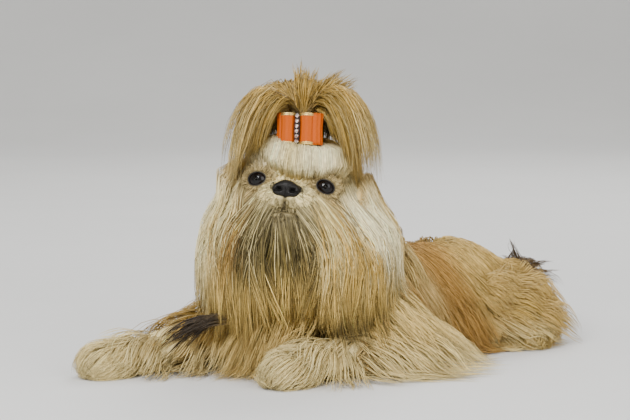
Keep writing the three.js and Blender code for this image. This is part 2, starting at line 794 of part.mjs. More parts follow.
function beads(grow) {
  const half = BOW_HEIGHT / 2 + grow;
  const profile = [new THREE.Vector2(0, -half)];
  for (let i = 0; i < BEADS; i++)
    for (const [share, radius] of [[0, BEAD_WAIST], [0.25, BEAD_RADIUS], [0.75, BEAD_RADIUS]])
      profile.push(new THREE.Vector2(radius + grow, mix(-half, half, (i + share) / BEADS)));
  profile.push(new THREE.Vector2(BEAD_WAIST + grow, half), new THREE.Vector2(0, half));
  const column = new THREE.LatheGeometry(profile, 7).rotateX(Math.PI / 2);
  return [onHead(column, BOW_PLACE.clone().addScaledVector(headForward, BEAD_FORWARD))];
}
function bandForms(grow) {
  const place = head(0, 25, 47);
  return [onHead(new THREE.TorusGeometry(8.4, 2.2 + grow, 6, 12), place)];
}

// Each node: its name, its material and its forms, all round larger by `grow` when it cuts a neighbour.
// Earlier nodes cut later ones.
const foreParts = (leg, offset) => [
  wrap([leg.top, leg.bend], leg.upper, offset, { sides: 10, rings: 8 }),
  wrap([leg.bend, leg.wrist], leg.lower, offset, { sides: 10, rings: 8 }),
];
const hindParts = (leg, offset) => [wrap([leg.bend, leg.wrist], leg.field, offset, { sides: 10, rings: 7 })];
const NODES = [
  ["bow_centre", "gold_trim", beads],
  ["bow_loop_left", "ribbon", (grow) => bowLoop(1, grow)],
  ["bow_loop_right", "ribbon", (grow) => bowLoop(-1, grow)],
  ["topknot_band", "band", bandForms],
  ["eye_left", "eye", (grow) => [ball(eyeCentre(1), EYE_RADIUS + grow, 10)]],
  ["eye_right", "eye", (grow) => [ball(eyeCentre(-1), EYE_RADIUS + grow, 10)]],
  ["nose", "leather", noseForms],
  [
    "topknot",
    "gold",
    (grow) => [
      wrap([STALK, KNOT], limb(STALK, KNOT, 5.4, 5.4), grow, { sides: 8, rings: 6 }),
      ...locksOf("topknot", topknotLocks, grow),
    ],
  ],
  ...[1, -1].map((s) => [
    s > 0 ? "ear_left" : "ear_right",
    "gold",
    (grow) => [
      earFlap(s, grow),
      ...locksOf("ear" + s, () => earLocks(s), grow),
    ],
  ]),
  [
    "head",
    "cream",
    (grow) => [
      wrap(HEAD_SPINE, headField, FACE_CORE + grow, { sides: 22, rings: 17, capShare: 0.4 }),
      eyelid(1),
      eyelid(-1),
      ...locksOf("head", headLocks, grow),
    ],
  ],
  [
    "lower_jaw",
    "cream",
    (grow) => [
      wrap([head(0, 36, -37), head(0, 50, -37)], jawField, FACE_CORE + grow, { sides: 12, rings: 10 }),
      ...locksOf("jaw", beardLocks, grow),
    ],
  ],
  [
    "neck",
    "gold",
    (grow) => [
      wrap([NECK_BASE, NECK_TOP], neckField, COAT_CORE + grow, { sides: 14, rings: 8 }),
      ...locksOf("neck", neckLocks, grow),
    ],
  ],
  [
    "torso",
    "gold",
    (grow) => [
      wrap(TORSO_SPINE, torsoField, COAT_CORE + grow, { sides: 16, rings: 14 }),
      ...locksOf("torso", torsoLocks, grow),
    ],
  ],
  ...["foreleg_left", "foreleg_right", "hindleg_left", "hindleg_right"].flatMap((name) => [
    [
      name.replace("leg", "paw"),
      "cream",
      (grow) => [
        wrap([LEGS[name].wrist, LEGS[name].toes], LEGS[name].paw, COAT_CORE + grow, { sides: 10, rings: 8 }),
        ...locksOf(name + "paw", () => pawLocks(name), grow),
      ],
    ],
    [
      name,
      "gold",
      (grow) => [
        ...(name.startsWith("fore") ? foreParts : hindParts)(LEGS[name], COAT_CORE + grow),
        ...locksOf(name, () => legLocks(name), grow),
      ],
    ],
  ]),
  [
    "tail",
    "gold",
    (grow) => [
      wrap(TAIL_PATH, tailField, COAT_CORE + grow, { sides: 8, rings: 12, capShare: 0.15 }),
      ...locksOf("tail", tailLocks, grow),
    ],
  ],
];

const LOOKS = {
  gold: { color: 0xb98f56, roughness: 0.62 },
  cream: { color: 0xdccaa8, roughness: 0.6 },
  leather: { color: 0x1c1918, roughness: 0.42 },
  eye: { color: 0x120c09, roughness: 0.06 },
  ribbon: { color: 0xe0631c, roughness: 0.4 },
  gold_trim: { color: 0xd9a441, roughness: 0.3, metalness: 0.8 },
  band: { color: 0x17130f, roughness: 0.8 },
};
const materials = Object.fromEntries(
  Object.entries(LOOKS).map(([name, look]) => [name, new THREE.MeshStandardMaterial(look)]),
);

const joined = (forms) => forms.reduce((a, b) => a.add(b));
const largest = (body) => body.decompose().sort((a, b) => b.volume() - a.volume())[0];
function geometryOf(body) {
  const { numProp, vertProperties, triVerts } = body.getMesh();
  const geometry = new THREE.BufferGeometry();
  geometry.setAttribute("position", new THREE.BufferAttribute(vertProperties, numProp));
  geometry.setIndex(new THREE.BufferAttribute(triVerts, 1));
  return geometry;
}
function near(a, b) {
  const p = a.boundingBox();
  const q = b.boundingBox();
  return [0, 1, 2].every((k) => p.min[k] < q.max[k] && q.min[k] < p.max[k]);
}

const finished = [];
for (const [name, material, forms] of NODES) {
  let body = joined(forms(0));
  for (const other of finished) if (near(body, other.cutter)) body = body.subtract(other.cutter);
  body = largest(body.trimByPlane([0, 0, 1], 0));
  finished.push({ name, material, body, cutter: joined(forms(GAP)) });
}

// The origin is the middle of the whole outline at floor level.
const low = v(Infinity, Infinity, 0);
const high = v(-Infinity, -Infinity, 0);
for (const { body } of finished) {
  const box = body.boundingBox();
  low.min(v(...box.min));
  high.max(v(...box.max));
}
const middle = low.clone().add(high).multiplyScalar(0.5).setZ(low.z);

// A bridge between two points closer than a micrometre parts when its points merge,
// so the largest body is taken again once they have.
const dog = new THREE.Group();
for (const { name, material, body } of finished) {
  const placed = geometryOf(body).translate(-middle.x, -middle.y, -middle.z);
  const geometry = geometryOf(largest(solid(placed)));
  geometry.computeVertexNormals();
  const mesh = new THREE.Mesh(geometry, materials[material]);
  mesh.name = name;
  dog.add(mesh);
}
export default dog;
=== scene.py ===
# A shih tzu in full show coat, lying down with its head up, as a life-size model.
# Its forms are laid out in millimetres in the dog's own space and moved to the frame in metres.
import math

import bmesh
import bpy
import numpy as np
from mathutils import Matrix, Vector
from mathutils.kdtree import KDTree


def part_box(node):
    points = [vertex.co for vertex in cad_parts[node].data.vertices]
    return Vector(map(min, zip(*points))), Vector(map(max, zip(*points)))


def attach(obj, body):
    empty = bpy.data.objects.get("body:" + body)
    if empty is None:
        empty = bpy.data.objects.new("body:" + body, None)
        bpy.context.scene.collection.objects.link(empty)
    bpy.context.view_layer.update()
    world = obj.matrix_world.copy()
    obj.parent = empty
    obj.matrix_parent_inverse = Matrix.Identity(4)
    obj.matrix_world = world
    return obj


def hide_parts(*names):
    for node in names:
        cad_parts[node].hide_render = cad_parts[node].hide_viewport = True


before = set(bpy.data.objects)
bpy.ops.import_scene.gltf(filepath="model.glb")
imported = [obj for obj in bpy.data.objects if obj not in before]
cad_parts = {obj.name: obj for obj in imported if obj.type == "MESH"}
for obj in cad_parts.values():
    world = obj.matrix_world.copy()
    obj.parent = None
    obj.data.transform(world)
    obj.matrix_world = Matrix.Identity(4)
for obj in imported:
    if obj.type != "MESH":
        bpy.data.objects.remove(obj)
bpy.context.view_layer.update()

# Camera: a long lens two metres in front of the dog, a little above its head and tipped down to it.
# It has the photograph's viewing angle, so the dog fills the same part of the frame.
CAMERA_PLACE = (-0.01617, -2.10377, 0.35)
CAMERA_DOWN = math.radians(5.84)
LENS = 130
SENSOR_WIDTH = 36
camera_data = bpy.data.cameras.new("camera")
camera_data.lens = LENS
camera_data.sensor_width = SENSOR_WIDTH
camera = bpy.data.objects.new("camera", camera_data)
camera.location = CAMERA_PLACE
camera.rotation_euler = (math.pi / 2 - CAMERA_DOWN, 0, 0)
bpy.context.scene.collection.objects.link(camera)
bpy.context.scene.camera = camera


# Studio floor: one plain pale sheet of matt paper, without a seam.
# It lies under the dog and sweeps up in a wide bend far behind it.
def show(name, mesh, material=None):
    piece = bpy.data.objects.new(name, mesh)
    bpy.context.scene.collection.objects.link(piece)
    if material:
        mesh.materials.append(material)
    return piece


def node(tree, kind, **inputs):
    """A shader node with its sockets set by name."""
    made = tree.nodes.new(kind)
    for name, value in inputs.items():
        made.inputs[name.replace("_", " ")].default_value = value
    return made


def new_material(name, **finish):
    material = bpy.data.materials.new(name)
    material.use_nodes = True
    tree = material.node_tree
    shader = tree.nodes["Principled BSDF"]
    for socket, value in finish.items():
        shader.inputs[socket.replace("_", " ")].default_value = value
    return material, tree, shader


def noise_on_object(tree, scale, detail=4.0, roughness=0.6):
    place = node(tree, "ShaderNodeTexCoord")
    noise = node(tree, "ShaderNodeTexNoise", Scale=scale, Detail=detail, Roughness=roughness)
    tree.links.new(place.outputs["Object"], noise.inputs["Vector"])
    return noise


def ramp(tree, factor, stops):
    """Colours along a factor: each stop is a place from 0 to 1 and a linear colour."""
    made = node(tree, "ShaderNodeValToRGB")
    while len(made.color_ramp.elements) < len(stops):
        made.color_ramp.elements.new(0.5)
    for element, (at, colour) in zip(made.color_ramp.elements, stops):
        element.position = at
        element.color = (*colour, 1)
    tree.links.new(factor, made.inputs["Fac"])
    return made.outputs["Color"]


def bump(tree, shader, height, strength, distance):
    made = node(tree, "ShaderNodeBump", Strength=strength, Distance=distance)
    tree.links.new(height, made.inputs["Height"])
    tree.links.new(made.outputs["Normal"], shader.inputs["Normal"])


def speckled(name, scale, stops, roughness, metal=0.0, relief=None):
    """A material whose tones, and relief where it is given, follow one fine noise."""
    material, tree, shader = new_material(name, Roughness=roughness, Metallic=metal)
    grain = noise_on_object(tree, scale)
    tree.links.new(ramp(tree, grain.outputs["Fac"], stops), shader.inputs["Base Color"])
    if relief:
        bump(tree, shader, grain.outputs["Fac"], *relief)
    return material


FLOOR_HALF = 6.0
SWEEP_START = 2.6
SWEEP_RADIUS = 2.2
SWEEP_STEPS = 24
PAPER_TONES = [(0.3, (0.74, 0.74, 0.73)), (0.7, (0.77, 0.77, 0.76))]
profile = [(-FLOOR_HALF, 0.0), (SWEEP_START, 0.0)]
for k in range(1, SWEEP_STEPS + 1):
    bend = math.pi / 2 * k / SWEEP_STEPS
    profile.append((SWEEP_START + SWEEP_RADIUS * math.sin(bend), SWEEP_RADIUS * (1 - math.cos(bend))))
profile.append((SWEEP_START + SWEEP_RADIUS, 2 * FLOOR_HALF))
floor_mesh = bpy.data.meshes.new("studio_floor")
floor_points = [(x, y, z) for y, z in profile for x in (-2 * FLOOR_HALF, 2 * FLOOR_HALF)]
floor_faces = [(2 * k, 2 * k + 1, 2 * k + 3, 2 * k + 2) for k in range(len(profile) - 1)]
floor_mesh.from_pydata(floor_points, [], floor_faces)
floor_mesh.shade_smooth()
show("studio_floor", floor_mesh, speckled("pale_floor", 3.0, PAPER_TONES, 0.85))

# Studio light: three square softboxes in a pale room that lights the shadows evenly.
# The large soft key hangs at the upper left in front, the fill at the right, the third behind the dog.
SOFTBOXES = [
    ("key", (-0.9, -2.3, 1.9), 1.3, 100),
    ("fill", (1.5, -1.9, 1.1), 1.6, 26),
    ("behind", (0.6, 1.7, 1.9), 1.4, 32),
]
LIGHT_AIM = Vector((0, 0, 0.12))
ROOM_COLOUR = (1.0, 0.985, 0.95, 1)
ROOM_STRENGTH = 0.7
for name, place, size, watts in SOFTBOXES:
    data = bpy.data.lights.new("softbox_" + name, "AREA")
    data.size = size
    data.energy = watts
    softbox = bpy.data.objects.new("softbox_" + name, data)
    softbox.location = place
    softbox.rotation_euler = (LIGHT_AIM - Vector(place)).to_track_quat("-Z", "Y").to_euler()
    bpy.context.scene.collection.objects.link(softbox)
room = bpy.data.worlds.new("studio_room")
room.use_nodes = True
room.node_tree.nodes["Background"].inputs["Color"].default_value = ROOM_COLOUR
room.node_tree.nodes["Background"].inputs["Strength"].default_value = ROOM_STRENGTH
bpy.context.scene.world = room


# Skin: one closed cast of the whole dog without its hair, from soft round forms blended together.
# It carries the lip line, the philtrum and the ear flaps, and the colours that the coat has at its roots.
# Its forms are laid out in millimetres: along the trunk, and left, forward and up in the head.
UP = np.array([0.0, 0.0, 1.0])


def unit(v):
    return v / np.maximum(np.linalg.norm(v, axis=-1, keepdims=True), 1e-9)


def turned(axis, angle):
    """A turn round one axis, as a matrix."""
    c, s = math.cos(angle), math.sin(angle)
    i, j = [(1, 2), (2, 0), (0, 1)][axis]
    made = np.eye(3)
    made[i, i] = made[j, j] = c
    made[i, j], made[j, i] = -s, s
    return made


TRUNK_YAW = math.radians(38)
TRUNK_START = np.array([38.0, 78.0, 0.0])
BACK = np.array([math.cos(TRUNK_YAW), math.sin(TRUNK_YAW), 0.0])
LEFT = np.array([math.sin(TRUNK_YAW), -math.cos(TRUNK_YAW), 0.0])


def trunk(along, left, up):
    """Places in the trunk: back from the shoulders, to the dog's left, and up from the floor."""
    along, left, up = np.broadcast_arrays(*[np.asarray(x, float) for x in (along, left, up)])
    return TRUNK_START + along[..., None] * BACK + left[..., None] * LEFT + up[..., None] * UP


HEAD_CENTRE = np.array([-14.0, 22.0, 168.0])
HEAD_TURN = turned(2, math.radians(-8)) @ turned(0, math.radians(-12)) @ turned(1, math.radians(6))
HEAD_LEFT, HEAD_FORWARD, HEAD_UP = HEAD_TURN[:, 0], -HEAD_TURN[:, 1], HEAD_TURN[:, 2]
HEAD_AXES = np.array([HEAD_LEFT, HEAD_FORWARD, HEAD_UP])


def head(left, forward, up):
    """Places in the head, from the middle of the skull."""
    left, forward, up = np.broadcast_arrays(*[np.asarray(x, float) for x in (left, forward, up)])
    return HEAD_CENTRE + np.stack([left, forward, up], -1) @ HEAD_AXES


def in_head(p):
    return (p - HEAD_CENTRE) @ HEAD_AXES.T


def in_trunk(p):
    off = p - TRUNK_START
    return off @ BACK, off @ LEFT, p[..., 2]


def egg(centre, half, axes=HEAD_AXES):
    """The distance from an egg, below 0 inside it."""
    half = np.array(half, float)

    def field(p):
        at = (p - centre) @ axes.T / half
        reach = np.linalg.norm(at, axis=-1)
        return reach * (reach - 1) / np.maximum(np.linalg.norm(at / half, axis=-1), 1e-9)

    field.balls = [(centre, half, axes)]
    return field


LIMB_BALLS = 7


def limb(start, end, start_radius, end_radius):
    """The distance from a round limb that tapers evenly."""
    start, end = np.array(start, float), np.array(end, float)
    run = end - start

    def field(p):
        t = np.clip((p - start) @ run / (run @ run), 0, 1)
        return np.linalg.norm(p - start - t[..., None] * run, axis=-1) - (
            start_radius + (end_radius - start_radius) * t
        )

    shares = np.linspace(0, 1, LIMB_BALLS)
    radii = start_radius + (end_radius - start_radius) * shares
    field.balls = [(start + t * run, np.full(3, r), np.eye(3)) for t, r in zip(shares, radii)]
    return field


def blend(forms, soft):
    """Several forms as one, with fillets where they meet."""

    def field(p):
        d = forms[0](p)
        for form in forms[1:]:
            e = form(p)
            d = np.minimum(d, e) - np.maximum(soft - np.abs(d - e), 0) ** 2 / (4 * soft)
        return d

    field.balls = [ball for form in forms for ball in form.balls]
    return field


def slope(field, p):
    """The way straight out of a form."""
    step = 0.5
    return unit(np.stack([field(p + step * axis) - field(p - step * axis) for axis in np.eye(3)], -1))


def onto(field, p, offset, rounds=3):
    """Points moved to a given distance from a form."""
    for _ in range(rounds):
        p = p + slope(field, p) * np.expand_dims(offset - field(p), -1)
    return p


TRUNK_AXES = np.array([BACK, LEFT, UP])
ribs = egg(trunk(8, 0, 52), (88, 50, 54), TRUNK_AXES)
breast = egg(trunk(-34, 0, 66), (42, 42, 42), TRUNK_AXES)
loin = egg(trunk(96, 0, 50), (78, 43, 54), TRUNK_AXES)
croup = egg(trunk(160, 0, 35), (52, 38, 39), TRUNK_AXES)
torso = blend([ribs, breast, loin, croup], 18)
NECK_BASE = trunk(-18, 0, 92)
NECK_TOP = head(0, -22, -22)
neck = limb(NECK_BASE, NECK_TOP, 42, 35)
EYE_RADIUS = 10.5
EYE_SPREAD, EYE_FORWARD, EYE_UP = 29, 37, -6
SIDES = (1, -1)
cranium = egg(head(0, 0, 0), (49, 48, 42))
forehead = egg(head(0, 26, 11), (40, 22, 20))
muzzle = egg(head(0, 50, -19), (24, 17, 13))
lip_pads = [egg(head(s * 12, 57, -23), (12.5, 9.5, 9)) for s in SIDES]
cheeks = [egg(head(s * 31, 20, -22), (20, 23, 19)) for s in SIDES]
eye_seats = [egg(head(s * EYE_SPREAD, EYE_FORWARD - 5, EYE_UP), (15, 12, 13.5)) for s in SIDES]
skull = blend([cranium, forehead, muzzle, *lip_pads, *cheeks, *eye_seats], 7)
jaw = egg(head(0, 43, -37), (18, 20, 8.5))
ears = {}
for s in SIDES:
    ear_root = egg(head(s * 45, -6, 18), (7, 17, 12))
    ear_flap = egg(head(s * 57, -6, -9), (7, 23, 24))
    ear_tip = egg(head(s * 60, -6, -32), (6, 17, 20))
    ears[s] = blend([ear_root, ear_flap, ear_tip], 8)


def leg(top, bend, wrist, toes, radii):
    """A leg's joints, and its forms with and without the paw."""
    thick, middle, thin = radii
    made = {"bend": np.array(bend, float), "wrist": np.array(wrist, float), "toes": np.array(toes, float)}
    made["lower"] = limb(bend, wrist, middle, thin)
    made["field"] = blend([limb(top, bend, thick, middle), made["lower"]], 8)
    made["paw"] = limb(wrist, toes, thin + 1, thin + 1)
    made["all"] = blend([made["field"], made["paw"]], 4)
    return made


FORE_RADII = (27, 22, 14)
HIND_RADII = (26, 20, 10)
legs = {
    "foreleg_left": leg((34, 22, 66), (80, 8, 26), (-2, -48, 17), (-27, -76, 11), FORE_RADII),
    "foreleg_right": leg((-32, 58, 66), (-84, 30, 32), (-158, -8, 17), (-188, -25, 11), FORE_RADII),
}
for s, name in zip(SIDES, ("hindleg_left", "hindleg_right")):
    hip, knee = trunk(176, s * 24, 34), trunk(134, s * 42, 32)
    hock, toes = trunk(196, s * 48, 14), trunk(164, s * 60, 9)
    legs[name] = leg(hip, knee, hock, toes, HIND_RADII)


def smooth_path(points, count):
    """Points spread along a smooth curve through the given ones."""
    points = np.asarray(points, float)
    closed = np.concatenate([[2 * points[0] - points[1]], points, [2 * points[-1] - points[-2]]])
    at = np.linspace(0, len(points) - 1, count)
    i = np.minimum(at.astype(int), len(points) - 2)
    t = (at - i)[:, None]
    a, b, c, d = closed[i], closed[i + 1], closed[i + 2], closed[i + 3]
    return 0.5 * (2 * b + (c - a) * t + (2 * a - 5 * b + 4 * c - d) * t**2 + (3 * b - a - 3 * c + d) * t**3)


TAIL_BENDS = [(196, 0, 44), (222, -12, 54), (230, -46, 48), (218, -84, 28), (194, -114, 14)]
tail_path = smooth_path([trunk(*place) for place in TAIL_BENDS], 13)
tail = blend([limb(a, b, 10, 10) for a, b in zip(tail_path, tail_path[1:])], 2)
parts = {"torso": torso, "neck": neck, "skull": skull, "jaw": jaw}
parts.update({"ear_left": ears[1], "ear_right": ears[-1]})
parts.update({name: made["field"] for name, made in legs.items()})
parts.update({name.replace("leg", "paw"): made["paw"] for name, made in legs.items()})
parts["tail"] = tail
whole = blend(list(parts.values()), 4)

# The dog's own space is set to the frame by the middle of the left eye.
eye_low, eye_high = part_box("eye_left")
TO_FRAME = np.array((eye_low + eye_high) / 2) * 1000 - head(EYE_SPREAD, EYE_FORWARD, EYE_UP)


def to_frame(p):
    return (p + TO_FRAME) / 1000


no_quads = np.empty((0, 4), int)
no_triangles = np.empty((0, 3), int)


def mesh_from(name, points, quads, triangles):
    """A mesh from arrays: points in the dog's space, and rows of four and of three point numbers."""
    mesh = bpy.data.meshes.new(name)
    mesh.vertices.add(len(points))
    mesh.vertices.foreach_set("co", to_frame(points).astype(np.float32).ravel())
    corners = np.concatenate([np.ravel(quads), np.ravel(triangles)]).astype(np.int32)
    sizes = np.concatenate([np.full(len(quads), 4), np.full(len(triangles), 3)])
    mesh.loops.add(len(corners))
    mesh.loops.foreach_set("vertex_index", corners)
    mesh.polygons.add(len(sizes))
    starts = np.concatenate([[0], np.cumsum(sizes)[:-1]])
    mesh.polygons.foreach_set("loop_start", starts.astype(np.int32))
    mesh.update(calc_edges=True)
    mesh.shade_smooth()
    return mesh


def ring_quads(rings, sides, closed=False):
    """The faces between rings of points; if closed, the last ring is joined to the first."""
    k, j = np.meshgrid(np.arange(rings if closed else rings - 1), np.arange(sides), indexing="ij")
    k, j = k.ravel(), j.ravel()
    here, there, after = k * sides, (k + 1) % rings * sides, (j + 1) % sides
    return np.stack([here + j, here + after, there + after, there + j], 1)


def points_of(mesh):
    flat = np.empty(len(mesh.vertices) * 3, np.float32)
    mesh.vertices.foreach_get("co", flat)
    return flat.reshape(-1, 3).astype(float) * 1000 - TO_FRAME


def set_points(mesh, points):
    mesh.vertices.foreach_set("co", to_frame(points).astype(np.float32).ravel())
    mesh.update()


def tone(red, green, blue):
    """An sRGB colour as linear light."""
    share = np.array([red, green, blue]) / 255
    return np.where(share < 0.04045, share / 12.92, ((share + 0.055) / 1.055) ** 2.4)


WHITE = tone(255, 243, 196)
CREAM = tone(244, 225, 164)
BEIGE = tone(224, 196, 130)
STRAW = tone(228, 196, 114)
GOLD = tone(202, 166, 80)
ORANGE_TAN = tone(200, 155, 80)
BROWN = tone(136, 102, 48)
OLIVE = tone(112, 98, 50)
DUSK = tone(62, 50, 28)
BLACK = tone(22, 19, 16)


def near(x, centre, width):
    """1 at the centre, fading away on both sides."""
    return np.exp(-(((x - centre) / width) ** 2))


def between(low, high, x):
    """0 up to low and 1 from high on, with a soft step between them; low may be the greater."""
    t = np.clip((x - low) / (high - low), 0, 1)
    return t * t * (3 - 2 * t)


def mixed(a, b, share):
    share = np.expand_dims(np.asarray(share), -1)
    return a * (1 - share) + b * share


def trunk_tone(p):
    """Orange on the withers, a pale streak behind the shoulder, a brown band and a golden hindquarter."""
    along, _, up = in_trunk(p)
    along = along - 0.6 * (60 - up) + 8 * np.sin(up / 21) + 4 * np.sin(up / 9 + along / 13)
    made = mixed(ORANGE_TAN, BEIGE, near(along, 38, 20) * 0.85)
    made = mixed(made, mixed(ORANGE_TAN, BROWN, 0.25), near(along, 72, 15))
    made = mixed(made, mixed(GOLD, BEIGE, 0.4), between(80, 108, along))
    return mixed(made, mixed(GOLD, BEIGE, 0.25), between(-30, -70, along))


def from_eye(p, s):
    return np.linalg.norm(in_head(p) - (s * EYE_SPREAD, EYE_FORWARD, EYE_UP), axis=-1)


def markings(p):
    """The colour of the coat at its roots, over the whole dog, with painted shade round the eyes."""
    made = trunk_tone(p)
    left, forward, up = np.moveaxis(in_head(p), -1, 0)
    on_head = between(14, 4, np.minimum(skull(p), jaw(p)))
    face = mixed(GOLD, CREAM, between(-4, 24, forward))
    face = mixed(face, WHITE, between(0, 10, up) * between(44, 34, np.abs(left)) * between(10, 30, forward))
    # Painted shade: a brown ring round each eye, where the eye lies in a hollow under the brow.
    for s in SIDES:
        face = mixed(face, mixed(BROWN, BEIGE, 0.2), 0.55 * between(23, 11, from_eye(p, s)))
    lips = near(up, -33, 3.5) * between(40, 54, forward)
    face = mixed(face, DUSK, 0.8 * lips * between(18, 9, np.abs(left)))
    chin = near(up, -40, 7) * between(38, 50, forward) * between(18, 8, np.abs(left))
    face = mixed(face, mixed(DUSK, OLIVE, 0.4), 0.8 * chin)
    under_nose = near(up, -25, 4) * between(50, 60, forward) * between(13, 5, np.abs(left))
    face = mixed(face, mixed(OLIVE, DUSK, 0.3), 0.7 * under_nose)
    philtrum = near(left, 0, 2.4) * near(up, -26, 9) * between(48, 56, forward)
    face = mixed(face, DUSK, 0.8 * philtrum)
    nose_rim = np.linalg.norm((in_head(p) - (0, 62, -14)) / (14, 9, 8), axis=-1)
    face = mixed(face, BLACK, between(1.15, 0.95, nose_rim))
    made = mixed(made, face, on_head)
    for name, made_leg in legs.items():
        on_leg = between(10, 2, made_leg["all"](p))
        paleness = between(60, 10, made_leg["paw"](p)) if name.startswith("fore") else 0.3
        made = mixed(made, mixed(mixed(GOLD, ORANGE_TAN, 0.5), CREAM, paleness), on_leg)
    return mixed(made, mixed(GOLD, BROWN, 0.3), between(10, 2, tail(p)))


SKIN_VOXEL = 0.0026
FACE_MIDDLE = head(0, 46, -12)
FINE_REACHES = (52, 44)
LIP_DEPTH = 1.6
BACK_SINK = 3.5
round_form = bmesh.new()
bmesh.ops.create_icosphere(round_form, subdivisions=4, radius=1)
round_points = np.array([v.co for v in round_form.verts])
round_faces = np.array([[v.index for v in f.verts] for f in round_form.faces])
round_form.free()
balls = [centre + (round_points * half) @ axes for centre, half, axes in whole.balls]
ball_faces = [round_faces + k * len(round_points) for k in range(len(balls))]
cast_mesh = mesh_from("cast", np.concatenate(balls), no_quads, np.concatenate(ball_faces))
cast_piece = show("cast", cast_mesh)
fuse = cast_piece.modifiers.new("fuse", "REMESH")
fuse.mode = "VOXEL"
fuse.voxel_size = SKIN_VOXEL
fused = cast_piece.evaluated_get(bpy.context.evaluated_depsgraph_get())
skin_mesh = bpy.data.meshes.new_from_object(fused)
bpy.data.objects.remove(cast_piece)

# The face of the cast gets finer facets, and then every point is drawn onto the blended form.
# The lips and the philtrum are pressed in, and the back is sunk a little to make room for its coat.
fine = bmesh.new()
fine.from_mesh(skin_mesh)
near_face = Vector(to_frame(FACE_MIDDLE))
for reach in FINE_REACHES:
    edges = [e for e in fine.edges if (e.verts[0].co - near_face).length < reach / 1000]
    bmesh.ops.subdivide_edges(fine, edges=edges, cuts=1, use_grid_fill=True)
bmesh.ops.triangulate(fine, faces=[f for f in fine.faces if len(f.verts) > 4])
fine.to_mesh(skin_mesh)
fine.free()
skin_points = points_of(skin_mesh)
along, _, up = in_trunk(skin_points)
sunk = BACK_SINK * between(-10, 30, along) * between(40, 80, up) * (skull(skin_points) > 40)
skin_points = onto(whole, skin_points, -sunk)
in_face = in_head(skin_points)
lip_line = near(in_face[:, 2], -31 - 0.012 * in_face[:, 0] ** 2, 1.6) * between(30, 48, in_face[:, 1])
lip_line *= between(24, 18, np.abs(in_face[:, 0]))
philtrum = near(in_face[:, 0], 0, 1.3) * between(-34, -30, in_face[:, 2]) * between(-16, -20, in_face[:, 2])
philtrum *= between(50, 60, in_face[:, 1])
crease = np.maximum(lip_line, philtrum)[:, None]
skin_points = skin_points - slope(whole, skin_points) * LIP_DEPTH * crease
skin_points[:, 2] = np.maximum(skin_points[:, 2], 1.0)
set_points(skin_mesh, skin_points)
skin_labels = np.argmin(np.stack([field(skin_points) for field in parts.values()]), axis=0)
PART_NAMES = list(parts)

# Lids: a haired cap over each eyeball that opens in an almond, with a dark wet rim at its edge.
# The two lids of an eye are one ring, from the rim outward over the lid and back under it.
# Each ring is set into the skin and is part of its mesh.
LID_STEPS = 48
LID_OPEN = (7.3, 5.1)
LID_SLANT = math.radians(18)
LID_REACH = 12.4
LID_SHARES = [0.02, 0.0, 0.06, 0.18, 0.45, 0.8, 1.0, 1.0, 0.5]
LID_RISES = [-0.5, 0.5, 1.15, 1.5, 1.6, 1.1, 0.0, -1.4, -1.2]
LID_SIDES = len(LID_SHARES)
EYES = {s: head(s * EYE_SPREAD, EYE_FORWARD, EYE_UP) for s in SIDES}


def eye_axes(s):
    """The way that an eye looks, the way across it and the way over it."""
    look = unit(HEAD_FORWARD + 0.2 * s * HEAD_LEFT)
    across = unit(np.cross(look, HEAD_UP))
    return look, across, np.cross(across, look)


def lid_cap(s):
    """A ring of lid: each profile point is a share of the way from the opening to the edge, and a rise."""
    look, across, over = eye_axes(s)
    turn = 2 * np.pi * np.arange(LID_STEPS)[:, None] / LID_STEPS
    share, rise = np.array(LID_SHARES), np.array(LID_RISES)
    opening = np.stack([LID_OPEN[0] * np.cos(turn), LID_OPEN[1] * np.sin(turn)], -1)
    opening = opening @ turned(2, -s * LID_SLANT)[:2, :2]
    rim = np.stack([LID_REACH * np.cos(turn), LID_REACH * np.sin(turn)], -1)
    flat = opening * (1 - share[:, None]) + rim * share[:, None]
    off = np.linalg.norm(flat, axis=-1)
    sunk = np.sqrt(np.maximum(EYE_RADIUS**2 - off**2, 0)) - 2.0 * between(9.5, LID_REACH, off)
    points = flat[..., :1] * across + flat[..., 1:] * over + sunk[..., None] * look
    points = EYES[s] + points + unit(points + 3 * look) * rise[:, None]
    quads = ring_quads(LID_STEPS, LID_SIDES, closed=True)
    return mesh_from("lid", points.reshape(-1, 3), quads, no_triangles)


joint = bmesh.new()
joint.from_mesh(skin_mesh)
skin_count = len(joint.verts)
for s in SIDES:
    joint.from_mesh(lid_cap(s))
joint.verts.ensure_lookup_table()
lid_faces = [f for v in joint.verts[skin_count:] for f in v.link_faces]
bmesh.ops.recalc_face_normals(joint, faces=list(set(lid_faces)))
joint.to_mesh(skin_mesh)
joint.free()
skin_mesh.shade_smooth()
skin = show("skin", skin_mesh)

bpy.context.view_layer.objects.active = skin
skin.select_set(True)
bpy.ops.object.mode_set(mode="EDIT")
bpy.ops.mesh.select_all(action="SELECT")
bpy.ops.uv.smart_project(angle_limit=1.2, island_margin=0.001)
bpy.ops.object.mode_set(mode="OBJECT")
skin.select_set(False)


def colour_points(mesh, colours):
    layer = mesh.attributes.new("coat_tone", "FLOAT_COLOR", "POINT")
    opaque = np.column_stack([colours, np.ones(len(colours))])
    layer.data.foreach_set("color", opaque.astype(np.float32).ravel())


skin_tones = markings(points_of(skin_mesh))
rim_share = np.tile(LID_SHARES, 2 * LID_STEPS)
skin_tones[skin_count:] = mixed(BLACK, skin_tones[skin_count:], between(0.1, 0.3, rim_share))
colour_points(skin_mesh, skin_tones)


